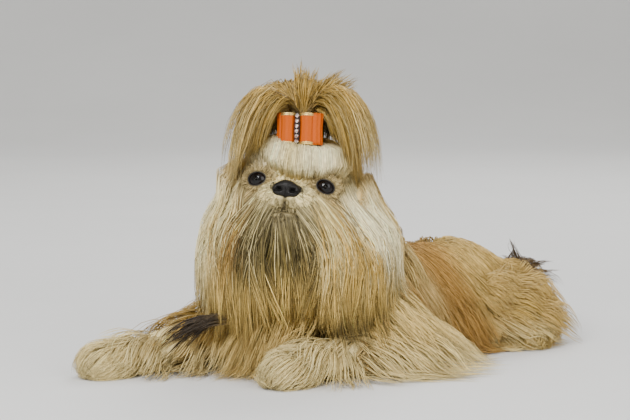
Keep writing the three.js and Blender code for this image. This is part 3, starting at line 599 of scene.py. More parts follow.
def coat_material(name, roughness, grain, rough_bump=0.0):
    """Hair or haired skin: its painted tones, broken by a fine grain."""
    material, tree, shader = new_material(name, Roughness=roughness)
    shader.inputs["Specular IOR Level"].default_value = 0.35
    paint = node(tree, "ShaderNodeAttribute")
    paint.attribute_name = "coat_tone"
    speck = noise_on_object(tree, grain, detail=3.0)
    shade = ramp(tree, speck.outputs["Fac"], [(0.3, (0.8, 0.78, 0.75)), (0.7, (1.08, 1.08, 1.08))])
    mix = node(tree, "ShaderNodeMix")
    mix.data_type = "RGBA"
    mix.blend_type = "MULTIPLY"
    mix.inputs["Factor"].default_value = 1.0
    tree.links.new(paint.outputs["Color"], mix.inputs["A"])
    tree.links.new(shade, mix.inputs["B"])
    tree.links.new(mix.outputs["Result"], shader.inputs["Base Color"])
    if rough_bump:
        bump(tree, shader, speck.outputs["Fac"], rough_bump, 0.0006)
    return material


skin_mesh.materials.append(coat_material("haired_skin", 0.6, 900.0, rough_bump=0.6))
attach(skin, "root")
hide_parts("head", "lower_jaw", "ear_left", "ear_right", "neck", "torso", "tail")
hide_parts(*legs, *[name.replace("leg", "paw") for name in legs])


# Eyes: glass spheres set in the lids, as in a museum mount, each with a slightly domed wet front.
# A round black pupil in a very dark brown iris, with a dark rim before the white, is fused into the glass.
EYE_RINGS = 28
EYE_TURNS = 40
DOME_HIGH = 0.5
EYE_SLACK = 0.15


def glass_eye(s):
    """A sphere in rings round the way that the eye looks, small enough for the lids to clear it."""
    look, across, over = eye_axes(s)
    centre = EYES[s]
    rings, turns = np.meshgrid(np.arange(1, EYE_RINGS), np.arange(EYE_TURNS), indexing="ij")
    away = np.pi * rings.ravel() / EYE_RINGS
    turn = 2 * np.pi * turns.ravel() / EYE_TURNS
    flat = np.cos(turn)[:, None] * across + np.sin(turn)[:, None] * over
    reach = EYE_RADIUS - EYE_SLACK + DOME_HIGH * near(away, 0, 0.55)
    shell = centre + reach[:, None] * (np.sin(away)[:, None] * flat + np.cos(away)[:, None] * look)
    front_pole = centre + (EYE_RADIUS - EYE_SLACK + DOME_HIGH) * look
    points = np.concatenate([shell, [front_pole, centre - (EYE_RADIUS - EYE_SLACK) * look]])
    front, back, last = len(points) - 2, len(points) - 1, (EYE_RINGS - 2) * EYE_TURNS
    ring = np.arange(EYE_TURNS)
    after = (ring + 1) % EYE_TURNS
    front_cap = np.stack([np.full(EYE_TURNS, front), after, ring], 1)
    back_cap = np.stack([np.full(EYE_TURNS, back), last + ring, last + after], 1)
    quads = ring_quads(EYE_RINGS - 1, EYE_TURNS)[:, ::-1]
    mesh = mesh_from("eye", points, quads, np.concatenate([front_cap, back_cap]))
    from_pupil = np.concatenate([away, [0, np.pi]])
    layer = mesh.attributes.new("from_pupil", "FLOAT", "POINT")
    layer.data.foreach_set("value", (from_pupil / np.pi).astype(np.float32))
    return mesh


eye_paint, tree, shader = new_material("eye_glass", Roughness=0.05)
shader.inputs["Specular IOR Level"].default_value = 0.3
ring_place = node(tree, "ShaderNodeAttribute")
ring_place.attribute_name = "from_pupil"
streaks = noise_on_object(tree, 1800.0, detail=2.0)
IRIS_STREAKS = 0.03
blur = node(tree, "ShaderNodeMath")
blur.operation = "MULTIPLY_ADD"
blur.inputs[1].default_value = IRIS_STREAKS
tree.links.new(streaks.outputs["Fac"], blur.inputs[0])
tree.links.new(ring_place.outputs["Fac"], blur.inputs[2])
PUPIL = (0.002, 0.0015, 0.0015)
IRIS = (0.005, 0.002, 0.0015)
IRIS_RIM = (0.003, 0.002, 0.002)
EYE_WHITE = (0.22, 0.13, 0.09)
EYE_STOPS = [
    (0.13, PUPIL), (0.155, IRIS), (0.235, IRIS), (0.27, IRIS_RIM), (0.33, IRIS_RIM), (0.42, EYE_WHITE),
]
eye_tone = ramp(tree, blur.outputs["Value"], EYE_STOPS)
tree.links.new(eye_tone, shader.inputs["Base Color"])
for s, name in zip(SIDES, ("eye_left", "eye_right")):
    eye = show(name + "_glass", glass_eye(s), eye_paint)
    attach(eye, "root")
    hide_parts(name)

# Nose: a moulded pad of black leather with a fine pebbled grain, set on the end of the muzzle.
# Its bridge and its two wings run together; two comma-shaped nostrils and a groove are pressed in.
NOSE_CENTRE = head(0, 65.5, -13)
NOSTRIL = 6.0
NOSTRIL_DEPTH = 5.0
COMMA_DEPTH = 2.2
GROOVE_DEPTH = 0.9
nose_bridge = egg(NOSE_CENTRE + 1.8 * HEAD_UP, (8, 6, 5.4))
nose_base = egg(NOSE_CENTRE - 3.5 * HEAD_UP, (6.5, 5, 4.6))
wings = [egg(NOSE_CENTRE + s * 6.8 * HEAD_LEFT - 2.0 * HEAD_UP, (5.4, 5.4, 5.8)) for s in SIDES]
nose_form = blend([nose_bridge, nose_base, *wings], 3)
pad = bmesh.new()
bmesh.ops.create_icosphere(pad, subdivisions=6, radius=1)
pad_points = NOSE_CENTRE - HEAD_UP + (np.array([v.co for v in pad.verts]) * (10, 6, 6)) @ HEAD_AXES
pad_faces = np.array([[v.index for v in f.verts] for f in pad.faces])
pad.free()
pad_points = onto(nose_form, pad_points, 0.0, rounds=6)
for s in SIDES:
    from_nostril = (pad_points - NOSE_CENTRE) @ HEAD_AXES.T - (s * NOSTRIL, 5.2, -1.8)
    left, forward, up = np.moveaxis(from_nostril, -1, 0)
    in_front = between(-6, -2, forward)
    rising = 0.35 * np.clip(left * s, 0, None)
    bowl = near(left, 0, 2.3) * near(up - rising, 0, 1.7) * in_front
    comma = near(left - s * 3.2, 0, 2.6) * near(up + 1.2, 0, 0.8) * in_front
    pad_points = pad_points - HEAD_FORWARD * (NOSTRIL_DEPTH * bowl + COMMA_DEPTH * comma)[:, None]
left, forward, up = np.moveaxis((pad_points - NOSE_CENTRE) @ HEAD_AXES.T, -1, 0)
groove = near(left, 0, 0.7) * between(0.5, -2.0, up) * between(0, 2, forward)
pad_points = pad_points - HEAD_FORWARD * (GROOVE_DEPTH * groove)[:, None]
nose_paint, tree, shader = new_material("nose_leather", Roughness=0.4)
shader.inputs["Specular IOR Level"].default_value = 0.22
pebbles = node(tree, "ShaderNodeTexVoronoi", Scale=1100.0)
pebble_place = node(tree, "ShaderNodeTexCoord")
tree.links.new(pebble_place.outputs["Object"], pebbles.inputs["Vector"])
LEATHER_TONES = [(0.1, (0.014, 0.012, 0.011)), (0.8, (0.004, 0.0035, 0.003))]
nose_tone = ramp(tree, pebbles.outputs["Distance"], LEATHER_TONES)
tree.links.new(nose_tone, shader.inputs["Base Color"])
bump(tree, shader, pebbles.outputs["Distance"], 0.5, 0.0004)
nose = show("nose_pad", mesh_from("nose_pad", pad_points, no_quads, pad_faces), nose_paint)
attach(nose, "root")
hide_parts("nose")

# Bow: orange satin ribbon, bent on each side into a pleated outer loop behind a shorter inner loop.
# Gold cord is sewn to the upper and lower edges of the inner loops.
# The bow stands before the gathered hair, and a column of small beads ties it down in the middle.
BOW_PLACE = head(0, 47.5, 41)
BOW_HEIGHT = 28.0
BOW_AXES = np.array(turned(2, math.radians(-8)) @ turned(0, math.radians(-12))).T * [[1], [-1], [1]]
RIBBON = 0.8
LOOP_ROUND = 96
LOOP_ROWS = 9
LOOP_SQUARED = 0.8
LOOP_PINCH = 0.03


def ribbon_loop(middle, reach, depth, pleats, pleat_depth):
    """A closed band of ribbon standing upright: rings up its outer wall and down its inner one."""
    a = np.linspace(0, 2 * np.pi, LOOP_ROUND, endpoint=False)
    x = np.sign(np.cos(a)) * np.abs(np.cos(a)) ** LOOP_SQUARED * reach / 2
    y = np.sin(a) * depth / 2
    wall = 1 + pleat_depth * np.sin(a * pleats)
    outer = np.stack([x * wall, y * wall], 1)
    shrink = 1 - RIBBON / np.linalg.norm(outer, axis=1, keepdims=True)
    levels = np.linspace(-0.5, 0.5, LOOP_ROWS)
    points = []
    for ring, rows in ((outer, levels), (outer * shrink, levels[::-1])):
        for level in rows:
            pinched = ring * (1 - LOOP_PINCH * math.cos(2 * math.pi * level))
            upright = np.column_stack([pinched, np.full(LOOP_ROUND, level * BOW_HEIGHT)])
            points.append(middle + upright @ BOW_AXES)
    return np.concatenate(points), ring_quads(2 * LOOP_ROWS, LOOP_ROUND, closed=True)


satin, tree, shader = new_material("orange_satin", Roughness=0.55)
shader.inputs["Specular IOR Level"].default_value = 0.15
SATIN_TONES = [(0.0, (0.34, 0.05, 0.0)), (1.0, (0.56, 0.1, 0.0))]
place = node(tree, "ShaderNodeTexCoord")
weave = node(tree, "ShaderNodeTexWave", Scale=420.0, Distortion=1.5, Detail=1.0)
weave.bands_direction = "Z"
tree.links.new(place.outputs["Object"], weave.inputs["Vector"])
tree.links.new(ramp(tree, weave.outputs["Fac"], SATIN_TONES), shader.inputs["Base Color"])
bump(tree, shader, weave.outputs["Fac"], 0.25, 0.0002)
GOLD_TONES = [(0.35, tuple(tone(196, 150, 70))), (0.65, tuple(tone(250, 226, 150)))]
gold = speckled("gold_cord", 900.0, GOLD_TONES, 0.32, metal=0.85, relief=(0.6, 0.0004))


def cord_round(ring, level, radius, sides=8):
    """A closed cord lying round a loop at one height."""
    n = len(ring)
    ahead = unit(np.roll(ring, -1, 0) - np.roll(ring, 1, 0))
    out = np.stack([ahead[:, 1], -ahead[:, 0]], 1)
    points = []
    for j in range(sides):
        b = 2 * math.pi * j / sides
        flat = ring + out * radius * math.cos(b)
        points.append(np.column_stack([flat, np.full(n, level + radius * math.sin(b))]))
    return np.concatenate(points) @ BOW_AXES, ring_quads(sides, n, closed=True)


def joined_mesh(name, forms):
    """Closed forms as one mesh, with their faces outward."""
    points, quads, count = [], [], 0
    for form_points, form_quads in forms:
        points.append(form_points)
        quads.append(form_quads + count)
        count += len(form_points)
    mesh = mesh_from(name, np.concatenate(points), np.concatenate(quads), no_triangles)
    shell = bmesh.new()
    shell.from_mesh(mesh)
    bmesh.ops.recalc_face_normals(shell, faces=shell.faces)
    shell.to_mesh(mesh)
    shell.free()
    mesh.shade_smooth()
    return mesh


OUTER_REACHES = {1: 20.0, -1: 16.5}
OUTER_DEPTH = 10.5
INNER_REACH, INNER_DEPTH = 12.8, 12.5
OUTER_PLEATS, INNER_PLEATS = (12, 0.035), (9, 0.02)
CORD_RADIUS = 0.75
CORD_LEVELS = (BOW_HEIGHT / 2 - 0.7, BOW_HEIGHT / 2 - 2.0)
for s, name in zip(SIDES, ("bow_loop_left", "bow_loop_right")):
    reach = OUTER_REACHES[s]
    outer_middle = BOW_PLACE + s * (reach / 2 + 1.9) * BOW_AXES[0]
    inner_middle = BOW_PLACE + s * (INNER_REACH / 2 + 2.2) * BOW_AXES[0] + 1.2 * BOW_AXES[1]
    outer = ribbon_loop(outer_middle, reach, OUTER_DEPTH, *OUTER_PLEATS)
    inner = ribbon_loop(inner_middle, INNER_REACH, INNER_DEPTH, *INNER_PLEATS)
    loop = show(name + "_satin", joined_mesh(name, [outer, inner]), satin)
    a = np.linspace(0, 2 * np.pi, LOOP_ROUND, endpoint=False)
    edge = np.stack([np.cos(a) * (INNER_REACH / 2 + 0.2), np.sin(a) * (INNER_DEPTH / 2 + 0.2)], 1)
    cords = []
    for level in CORD_LEVELS:
        for end in (-1, 1):
            ring, quads = cord_round(edge, end * level, CORD_RADIUS)
            cords.append((ring + inner_middle, quads))
    trim = show(name + "_gold_edge", joined_mesh(name + "_edge", cords), gold)
    for piece, slot in ((loop, "ribbon"), (trim, "gold_trim")):
        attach(piece, "root")
        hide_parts(name)

# Beads: six faceted beads of cut glass, threaded one above the other on a dark wire.
# They lie down the middle of the bow and hold its two halves together.
BEAD_COUNT = 6
BEAD_RADIUS = 0.0019
# Painted glints: the glass is speckled from a dark tone to near white, for the sparkle of its facets.
BEAD_GLASS_AND_GLINTS = [(0.4, (0.25, 0.16, 0.14)), (0.6, (0.95, 0.88, 0.86))]
beads = bmesh.new()
for k in range(BEAD_COUNT):
    level = (k + 0.5) / BEAD_COUNT - 0.5
    at = to_frame(BOW_PLACE + BOW_AXES[1] * 6.6 + BOW_AXES[2] * level * (BOW_HEIGHT - 1))
    bead = bmesh.ops.create_icosphere(beads, subdivisions=2, radius=BEAD_RADIUS)
    bmesh.ops.translate(beads, verts=bead["verts"], vec=Vector(at))
bead_mesh = bpy.data.meshes.new("beads")
beads.to_mesh(bead_mesh)
beads.free()
bead_glass = speckled("cut_glass", 700.0, BEAD_GLASS_AND_GLINTS, 0.08, metal=0.7)
bead_piece = show("bow_beads", bead_mesh, bead_glass)
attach(bead_piece, "root")
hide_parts("bow_centre")

# Band: a black knitted elastic, wound three times round the gathered hair above the crown.
# A dark loop of the same cord stands behind the beads and ties the bow to the hair.
BAND_PLACE = head(0, 25, 47)
BAND_RADIUS = 8.4
BAND_LEVELS = (-1.5, 0.1, 1.6)
BAND_TONES = [(0.3, (0.008, 0.007, 0.006)), (0.7, (0.03, 0.026, 0.022))]
bands = []
a = np.linspace(0, 2 * np.pi, 48, endpoint=False)
for k, level in enumerate(BAND_LEVELS):
    wobble = BAND_RADIUS + 0.3 * np.sin(a * 2 + k)
    ring, quads = cord_round(np.stack([np.cos(a) * wobble, np.sin(a) * wobble], 1), level, 1.0)
    bands.append((ring + BAND_PLACE, quads))
t = np.linspace(0, 2 * np.pi, 40, endpoint=False)
tie = np.stack([np.cos(t) * 1.5, np.sin(t) * (BOW_HEIGHT / 2 - 0.5)], 1)
tie_ring, tie_quads = cord_round(tie, 0, 0.9)
standing = (tie_ring @ BOW_AXES.T)[:, [0, 2, 1]] @ BOW_AXES
bands.append((standing + BOW_PLACE + BOW_AXES[1] * 4.4, tie_quads))
elastic = speckled("black_elastic", 1500.0, BAND_TONES, 0.75, relief=(0.5, 0.0003))
band_piece = show("topknot_elastic", joined_mesh("topknot_elastic", bands), elastic)
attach(band_piece, "root")
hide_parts("topknot_band")

# Face hair: short fine hair that fans away from the nose and the eyes, up the forehead and down the cheeks.
# Like all of the coat it is made of clumps: a guide line rooted in the skin, with thin strands along it.
# Each strand is a closed solid with three sides, in the tones of the skin at its root.
rng = np.random.default_rng(11)
STRAND_FLAT = 0.45
PATCH = 0.003
skin_points = points_of(skin_mesh)[:skin_count]
skin_tree = KDTree(skin_count)
for i, point in enumerate(skin_points):
    skin_tree.insert(point, i)
skin_tree.balance()
corner_points = np.empty(len(skin_mesh.loops), np.int32)
skin_mesh.loops.foreach_get("vertex_index", corner_points)
corner_uv = np.empty(len(skin_mesh.loops) * 2, np.float32)
skin_mesh.uv_layers.active.data.foreach_get("uv", corner_uv)
uv_of_point = np.zeros((len(skin_mesh.vertices), 2))
uv_of_point[corner_points] = corner_uv.reshape(-1, 2)


def bundle(guides, outward, count, spread, depth, steps, close=0.4, wave=1.0, shortest=0.72, open_root=0.6):
    """Strands along guides: they keep together at the root, open out and close again to the tip."""
    which = np.repeat(np.arange(len(guides)), count)
    n, last = len(which), guides.shape[1] - 1
    share = np.linspace(0, 1, steps) * rng.uniform(shortest, 1.03, (n, 1))
    low = np.clip((share * last).astype(int), 0, last - 1)
    part = (share * last - low)[..., None]
    tangent = unit(np.gradient(guides, axis=1))
    side = unit(np.cross(tangent, outward))
    ridge = np.cross(side, tangent)

    def take(grid):
        return grid[which[:, None], low] * (1 - part) + grid[which[:, None], low + 1] * part

    across, deep = rng.uniform(-1, 1, (n, 1)), rng.uniform(0, 1, (n, 1))
    spread = np.broadcast_to(spread, len(guides))[which][:, None]
    opened = np.interp(share, [0, 0.45, 1], [open_root, 1, close])

    wild = (1 + 3 * (rng.random((n, 1)) < 0.04)) * wave

    def ripple():
        beat, phase = rng.uniform(0.5, 1.8, (n, 1)), rng.uniform(0, 1, (n, 1))
        return wild * share * np.sin(2 * np.pi * (beat * share + phase)) * rng.uniform(0.3, 1.2, (n, 1))

    path = take(guides)
    path = path + take(side) * (across * spread * opened + ripple())[..., None]
    path = path + take(ridge) * (deep * depth * opened + 0.6 * ripple())[..., None]
    path[..., 2] = np.maximum(path[..., 2], 0.8)
    strands = {"path": path, "ridge": take(ridge), "share": share}
    return {**strands, "which": which, "deep": deep, "across": across}


def varied(colour, strands, contrast=0.11, dark=0.07, deep_shade=0.68, root_shade=0.75):
    """Strand colours: each lighter or darker than its clump, with painted shade deep in the clump and at the
    root.
    """
    n = len(strands["which"])
    clump = rng.normal(0, contrast * 0.7, strands["which"].max() + 1)[strands["which"]]
    light = np.exp(clump + rng.normal(0, contrast, n))[:, None]
    # Painted shade: strands deep in their clump and near their roots are dimmed.
    light = light * (deep_shade + (1 - deep_shade) * strands["deep"] ** 0.7)
    light = light * (root_shade + (1 - root_shade) * np.minimum(strands["share"] * 4, 1))
    darker = (rng.random(n) < dark)[:, None] * 0.6
    return mixed(colour, DUSK, darker * np.ones_like(strands["share"])) * light[..., None]


def hair_mesh(name, strands, width, colours, roots):
    """Closed tapering strands: a ring of three points at each step, a base and a tip."""
    path = strands["path"]
    n, steps, _ = path.shape
    tangent = unit(np.gradient(path, axis=1))
    side = unit(np.cross(tangent, strands["ridge"]))
    ridge = np.cross(side, tangent)
    thick = np.interp(np.linspace(0, 1, steps), [0, 0.15, 0.65, 1], [0.6, 1, 0.8, 0.12])
    half = (width * rng.uniform(0.7, 1.3, (n, 1)) * thick / 2)[..., None]
    corners = [path + ridge * half * 2 * STRAND_FLAT, path + side * half, path - side * half]
    rings = np.stack(corners, 2)[:, :-1]
    points = np.concatenate([rings.reshape(n, -1, 3), path[:, -1:]], 1)
    per = points.shape[1]
    end = (steps - 2) * 3
    triangles = np.array([[end + j, end + (j + 1) % 3, per - 1] for j in range(3)] + [[0, 2, 1]])
    first = (np.arange(n) * per)[:, None, None]
    quads = (ring_quads(steps - 1, 3) + first).reshape(-1, 4)
    mesh = mesh_from(name, points.reshape(-1, 3), quads, (triangles + first).reshape(-1, 3))
    ring_tones = np.repeat(colours[:, :-1], 3, axis=1)
    colour_points(mesh, np.clip(np.concatenate([ring_tones, colours[:, -1:]], 1).reshape(-1, 3), 0, 1))
    middle = np.array([uv_of_point[skin_tree.find(root)[1]] for root in roots])[strands["which"]]
    along = np.concatenate([np.repeat(np.linspace(-0.5, 0.5, steps)[:-1], 3), [0.5]])
    beside = np.concatenate([np.tile([0.0, 0.2, -0.2], steps - 1), [0.0]])
    u = middle[:, :1] + PATCH * (0.3 * strands["across"] + beside[None])
    v = middle[:, 1:] + PATCH * along[None]
    uv = np.stack([u, v], -1).reshape(-1, 2)
    corners = np.empty(len(mesh.loops), np.int32)
    mesh.loops.foreach_get("vertex_index", corners)
    layer = mesh.uv_layers.new(name="OFBake")
    layer.data.foreach_set("uv", uv[corners].astype(np.float32).ravel())
    return mesh


coat_gold = coat_material("gold_coat", 0.5, 260.0)
coat_cream = coat_material("cream_coat", 0.5, 260.0)


def coat_piece(name, strands, width, colours, roots, nodes=(), slot="coat_gold"):
    """Strands as a finished piece of coat, which replaces the nodes that are all hair."""
    material = coat_cream if slot == "coat_cream" else coat_gold
    piece = show(name, hair_mesh(name, strands, width, colours, roots), material)
    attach(piece, "root")
    if nodes:
        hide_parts(*nodes)


def roots_on(names, count, keep):
    """Roots spread at random over the named parts of the skin, where keep allows them."""
    chosen = np.isin(skin_labels, [PART_NAMES.index(name) for name in names])
    chosen = np.flatnonzero(chosen & keep(skin_points))
    return skin_points[rng.choice(chosen, min(count, len(chosen)), replace=False)]


def surface_guides(roots, comb, length, rise, field, steps=7):
    """Short hair that lies close to the skin and follows it."""
    p = roots - slope(field, roots) * 0.6
    path, out = [p.copy()], [slope(field, p)]
    for i in range(1, steps + 1):
        away = slope(field, p)
        way = unit(comb - away * (comb * away).sum(-1, keepdims=True))
        p = p + way * (length / steps)[:, None]
        p = onto(field, p, rise * i / steps, rounds=1)
        path.append(p.copy())
        out.append(slope(field, p))
    return np.stack(path, 1), np.stack(out, 1)


face_field = blend([skull, jaw], 4)
FACE_HAIRS = 1450
LID_KEEP_OUT = 12.0


def on_face(p):
    """Where short hair grows: the front of the head, but not on the nose or the lids."""
    left, forward, up = np.moveaxis(in_head(p), -1, 0)
    shown = (forward > 4) & (up > -48) & (up < 26)
    for s in SIDES:
        shown &= from_eye(p, s) > LID_KEEP_OUT
    on_nose = np.linalg.norm((in_head(p) - (0, 64, -14)) / (14.5, 8, 8.5), axis=-1) < 1
    return shown & ~on_nose


def face_comb(p):
    """Up between the eyes and over the brow, outward and down below them, and away from each eye."""
    left, forward, up = np.moveaxis(in_head(p), -1, 0)
    rising = between(-13, -3, up + 0.12 * np.abs(left))[:, None]
    side_way = np.sign(left)[:, None] * HEAD_LEFT * between(1, 12, np.abs(left))[:, None]
    comb = HEAD_UP * (2 * rising - 1) * 1.1 + side_way * (1.5 - rising) - HEAD_FORWARD * 0.3
    for s in SIDES:
        off = p - EYES[s]
        comb = comb + unit(off) * between(22, 10, np.linalg.norm(off, axis=-1))[:, None] * 1.3
    return unit(comb)


face_roots = roots_on(["skull", "jaw"], FACE_HAIRS, on_face)
forward = in_head(face_roots)[:, 1]
face_length = (12 - 7.5 * between(34, 54, forward)) * rng.uniform(0.8, 1.2, len(face_roots))
guides, out = surface_guides(face_roots, face_comb(face_roots), face_length, 1.8, face_field)
strands = bundle(guides, out, 3, 1.5, 1.0, 4, close=0.6, wave=0.4)
face_tones = markings(face_roots)[strands["which"]][:, None] * np.ones((1, 4, 1))
face_tones = varied(face_tones, strands, dark=0.12, root_shade=0.85)
coat_piece("face_hair", strands, 0.7, face_tones, face_roots, slot="coat_cream")

# Lid hair: the shortest hair of all, three rows of it round each eye.
# It is rooted on the lids and lies outward from their wet rim, with painted shade at its roots.
HAIRY_ROWS = slice(3, 6)
LID_HAIR_LENGTH = 5.5
lid_points = points_of(skin_mesh)[skin_count:].reshape(2 * LID_STEPS, LID_SIDES, 3)
lid_rises = lid_points[:, HAIRY_ROWS].reshape(-1, 3)
lid_rises = lid_rises + rng.normal(0, 0.5, lid_rises.shape)
behind_eyes = [head(s * EYE_SPREAD, EYE_FORWARD - 6, EYE_UP) for s in SIDES]
lid_middles = np.repeat(behind_eyes, len(lid_rises) // 2, axis=0)
lid_ways = unit(lid_rises - lid_middles)
outside = unit(lid_ways - (lid_ways @ HEAD_FORWARD)[:, None] * HEAD_FORWARD)
u = np.linspace(0, 1, 6)[None, :, None]
lid_comb = outside[:, None] * (1.1 - 0.2 * u) + 0.35 * HEAD_FORWARD * (1 - u)
guides = lid_rises[:, None] + LID_HAIR_LENGTH * u * lid_comb
out = np.broadcast_to(lid_ways[:, None], guides.shape)
strands = bundle(guides, out, 3, 0.9, 0.6, 4, close=0.6, wave=0.3)
lid_hair_tones = markings(lid_rises)[strands["which"]][:, None] * np.ones((1, 4, 1))
lid_hair_tones = varied(lid_hair_tones, strands, dark=0.15, root_shade=0.6)
coat_piece("lid_hair", strands, 0.5, lid_hair_tones, lid_rises, slot="coat_cream")

# Undercoat: short dense woolly hair over the trunk, neck, legs and tail.
# It lies close to the skin, so that no skin shows between the long locks.
def lie(p, label):
    """The way the coat lies at a point of a part: back and down on the trunk, along each limb."""
    away = unit((p - TRUNK_START) * (1, 1, 0))
    if label in legs:
        along = unit(legs[label]["wrist"] - legs[label]["bend"])
        return unit(along * 0.7 - 0.5 * UP)
    if label.replace("paw", "leg") in legs:
        made = legs[label.replace("paw", "leg")]
        return unit(0.8 * unit(made["toes"] - made["wrist"]) - 0.5 * UP)
    if label == "tail":
        return unit(BACK + 0 * p)
    if label == "torso":
        return unit(0.7 * BACK - 0.7 * UP + 0.3 * away)
    return unit(0.3 * away - UP)


def from_root(strands, roots, tones, reach=0.25):
    """The coat takes the colour of the skin at its root and its own further out."""
    root_tones = markings(roots)[strands["which"]][:, None]
    return mixed(root_tones, tones, between(0, reach, strands["share"]))


UNDERCOAT = {"torso": 190, "neck": 70, "tail": 30}
for name in legs:
    fore = name.startswith("fore")
    UNDERCOAT[name] = 80 if fore else 45
for name in legs:
    fore = name.startswith("fore")
    UNDERCOAT[name.replace("leg", "paw")] = 70 if fore else 40
UNDERCOAT_LENGTH, PAW_UNDERCOAT_LENGTH = 26, 15
under = []
for label, count in UNDERCOAT.items():
    roots = roots_on([label], count, lambda p: p[:, 2] > 3)
    usual = PAW_UNDERCOAT_LENGTH if "paw" in label else UNDERCOAT_LENGTH
    length = rng.uniform(0.8, 1.2, len(roots)) * usual
    guides, out = surface_guides(roots, lie(roots, label), length, 2.2, parts[label], steps=6)
    guides[..., 2] = np.maximum(guides[..., 2], 1.2)
    under.append((roots, guides, out))
roots, guides, out = [np.concatenate(each) for each in zip(*under)]
strands = bundle(guides, out, 6, 7.0, 1.5, 4, close=0.6, wave=0.8)
tones = from_root(strands, roots, markings(roots)[strands["which"]][:, None] * np.ones((1, 4, 1)))
coat_piece("undercoat", strands, 2.0, varied(tones, strands, root_shade=0.7), roots)

# Moustache and cheeks: long soft hair from the lips and the cheeks, combed out and down over the chest.
# Like all the long hair of the head it hangs from the skin to one bell shape round an upright axis.
# The turns round that axis are counted from the front.
BODY_CORE = 4
LEG_COAT, TORSO_COAT, NECK_COAT = 13, 15, 16
over_legs = [(made["all"], LEG_COAT) for made in legs.values()]
over_torso = [*over_legs, (torso, TORSO_COAT)]
over_neck = [*over_torso, (neck, NECK_COAT)]
BELL_AXIS = np.array([-12.0, 24.0])
BELL_TOP = 182
BELL_FRONT, BELL_LEFT, BELL_RIGHT, BELL_BACK = 84, 86, 89, 88


def bell(turn, z, push):
    """A place on the bell at a turn and a height, pushed out or in."""
    opened = 0.72 + 0.28 * np.clip(1 - np.exp((z - BELL_TOP) / 36), 0, 1)
    side = np.where(turn > 0, BELL_LEFT, BELL_RIGHT) * opened + push
    depth = np.where(np.cos(turn) > 0, BELL_FRONT, BELL_BACK) * opened + push
    return np.stack([BELL_AXIS[0] + np.sin(turn) * side, BELL_AXIS[1] - np.cos(turn) * depth, z], -1)


face_windows = [egg(head(s * 29, 50, -4), (14, 26, 10)) for s in SIDES]
face_windows.append(egg(head(0, 66, -20), (10.5, 18, 14)))


def clear(p, field, need):
    """Points that are closer to a form than they need to be are moved out of it."""
    d = field(p)
    low = d < need
    if low.any():
        moved = p[low]
        need = np.broadcast_to(need, d.shape)[low]
        p[low] = moved + slope(field, moved) * (need - d[low])[:, None]
    return p


def off_the_face(p, share, room=0.5):
    """Long hair is kept out of the space before the eyes and the mouth."""
    for window in face_windows:
        p = clear(p, window, -2 + (2 + room) * share)
    return p


def hanging(roots, field, turn, tip, push=0.0, sway=0.0, spread=0.7, quick=0.0, over=over_neck, steps=14):
    """Hair that leaves its root, reaches the bell part way down and hangs to its tip."""
    start = onto(field, roots, -0.6)
    away = slope(field, start)
    path, out = [start], [away]
    waver, beat = rng.uniform(-4, 4, len(roots)), rng.uniform(0, 6.28, len(roots))
    drift, curl = rng.normal(0, 0.05, len(roots)), rng.uniform(-0.035, 0.035, len(roots))
    for i in range(1, steps + 1):
        t = i / steps
        z = start[:, 2] + (tip - start[:, 2]) * t**1.1
        at = turn + sway * t + drift * t * t + curl * np.sin(5.5 * t + beat) * t
        part = min(1, t / spread)
        reach = (1 - quick) * between(0, 1, part) + quick * math.sin(part * math.pi / 2)
        p = start * (1 - reach) + bell(at, z, push + waver * np.sin(4.5 * t + beat)) * reach
        p[:, 2] = z
        p = clear(p, field, 3.6 * min(1, 4 * t))
        for layer, depth in over:
            p = clear(p, layer, depth * min(1, 3 * t))
        p = off_the_face(p, min(1, 4 * t))
        p[:, 2] = np.maximum(p[:, 2], 1.5)
        path.append(p)
        flat = np.stack([np.sin(at), -np.cos(at), np.full(len(at), 0.1)], -1)
        out.append(unit(flat + (away - flat) * 0.5 * (1 - t)))
    return np.stack(path, 1), np.stack(out, 1)


def stepped(at, stops):
    """Tones along a scale: each stop is a place and a tone."""
    places = [place for place, _ in stops]
    return np.stack([np.interp(at, places, [colour[k] for _, colour in stops]) for k in range(3)], -1)


# Painted shade: the shaded olive at both mouth corners stands for the shadow under the moustache; the olive
# beard between is its own tone, darkened in part by painted shade.
SHADED_OLIVE = mixed(OLIVE, DUSK, 0.5)
BELL_STOPS = [
    (-180, GOLD), (-125, GOLD), (-106, BEIGE), (-94, WHITE), (-66, CREAM), (-57, BEIGE),
    (-50, mixed(GOLD, BROWN, 0.4)), (-43, BROWN),
    (-37, SHADED_OLIVE), (-29, SHADED_OLIVE), (-18, OLIVE), (-8, OLIVE), (0, SHADED_OLIVE),
    (8, SHADED_OLIVE), (14, STRAW), (23, CREAM), (31, GOLD), (80, GOLD), (96, BEIGE), (122, GOLD), (180, GOLD),
]
FACE_WAY = -8.0


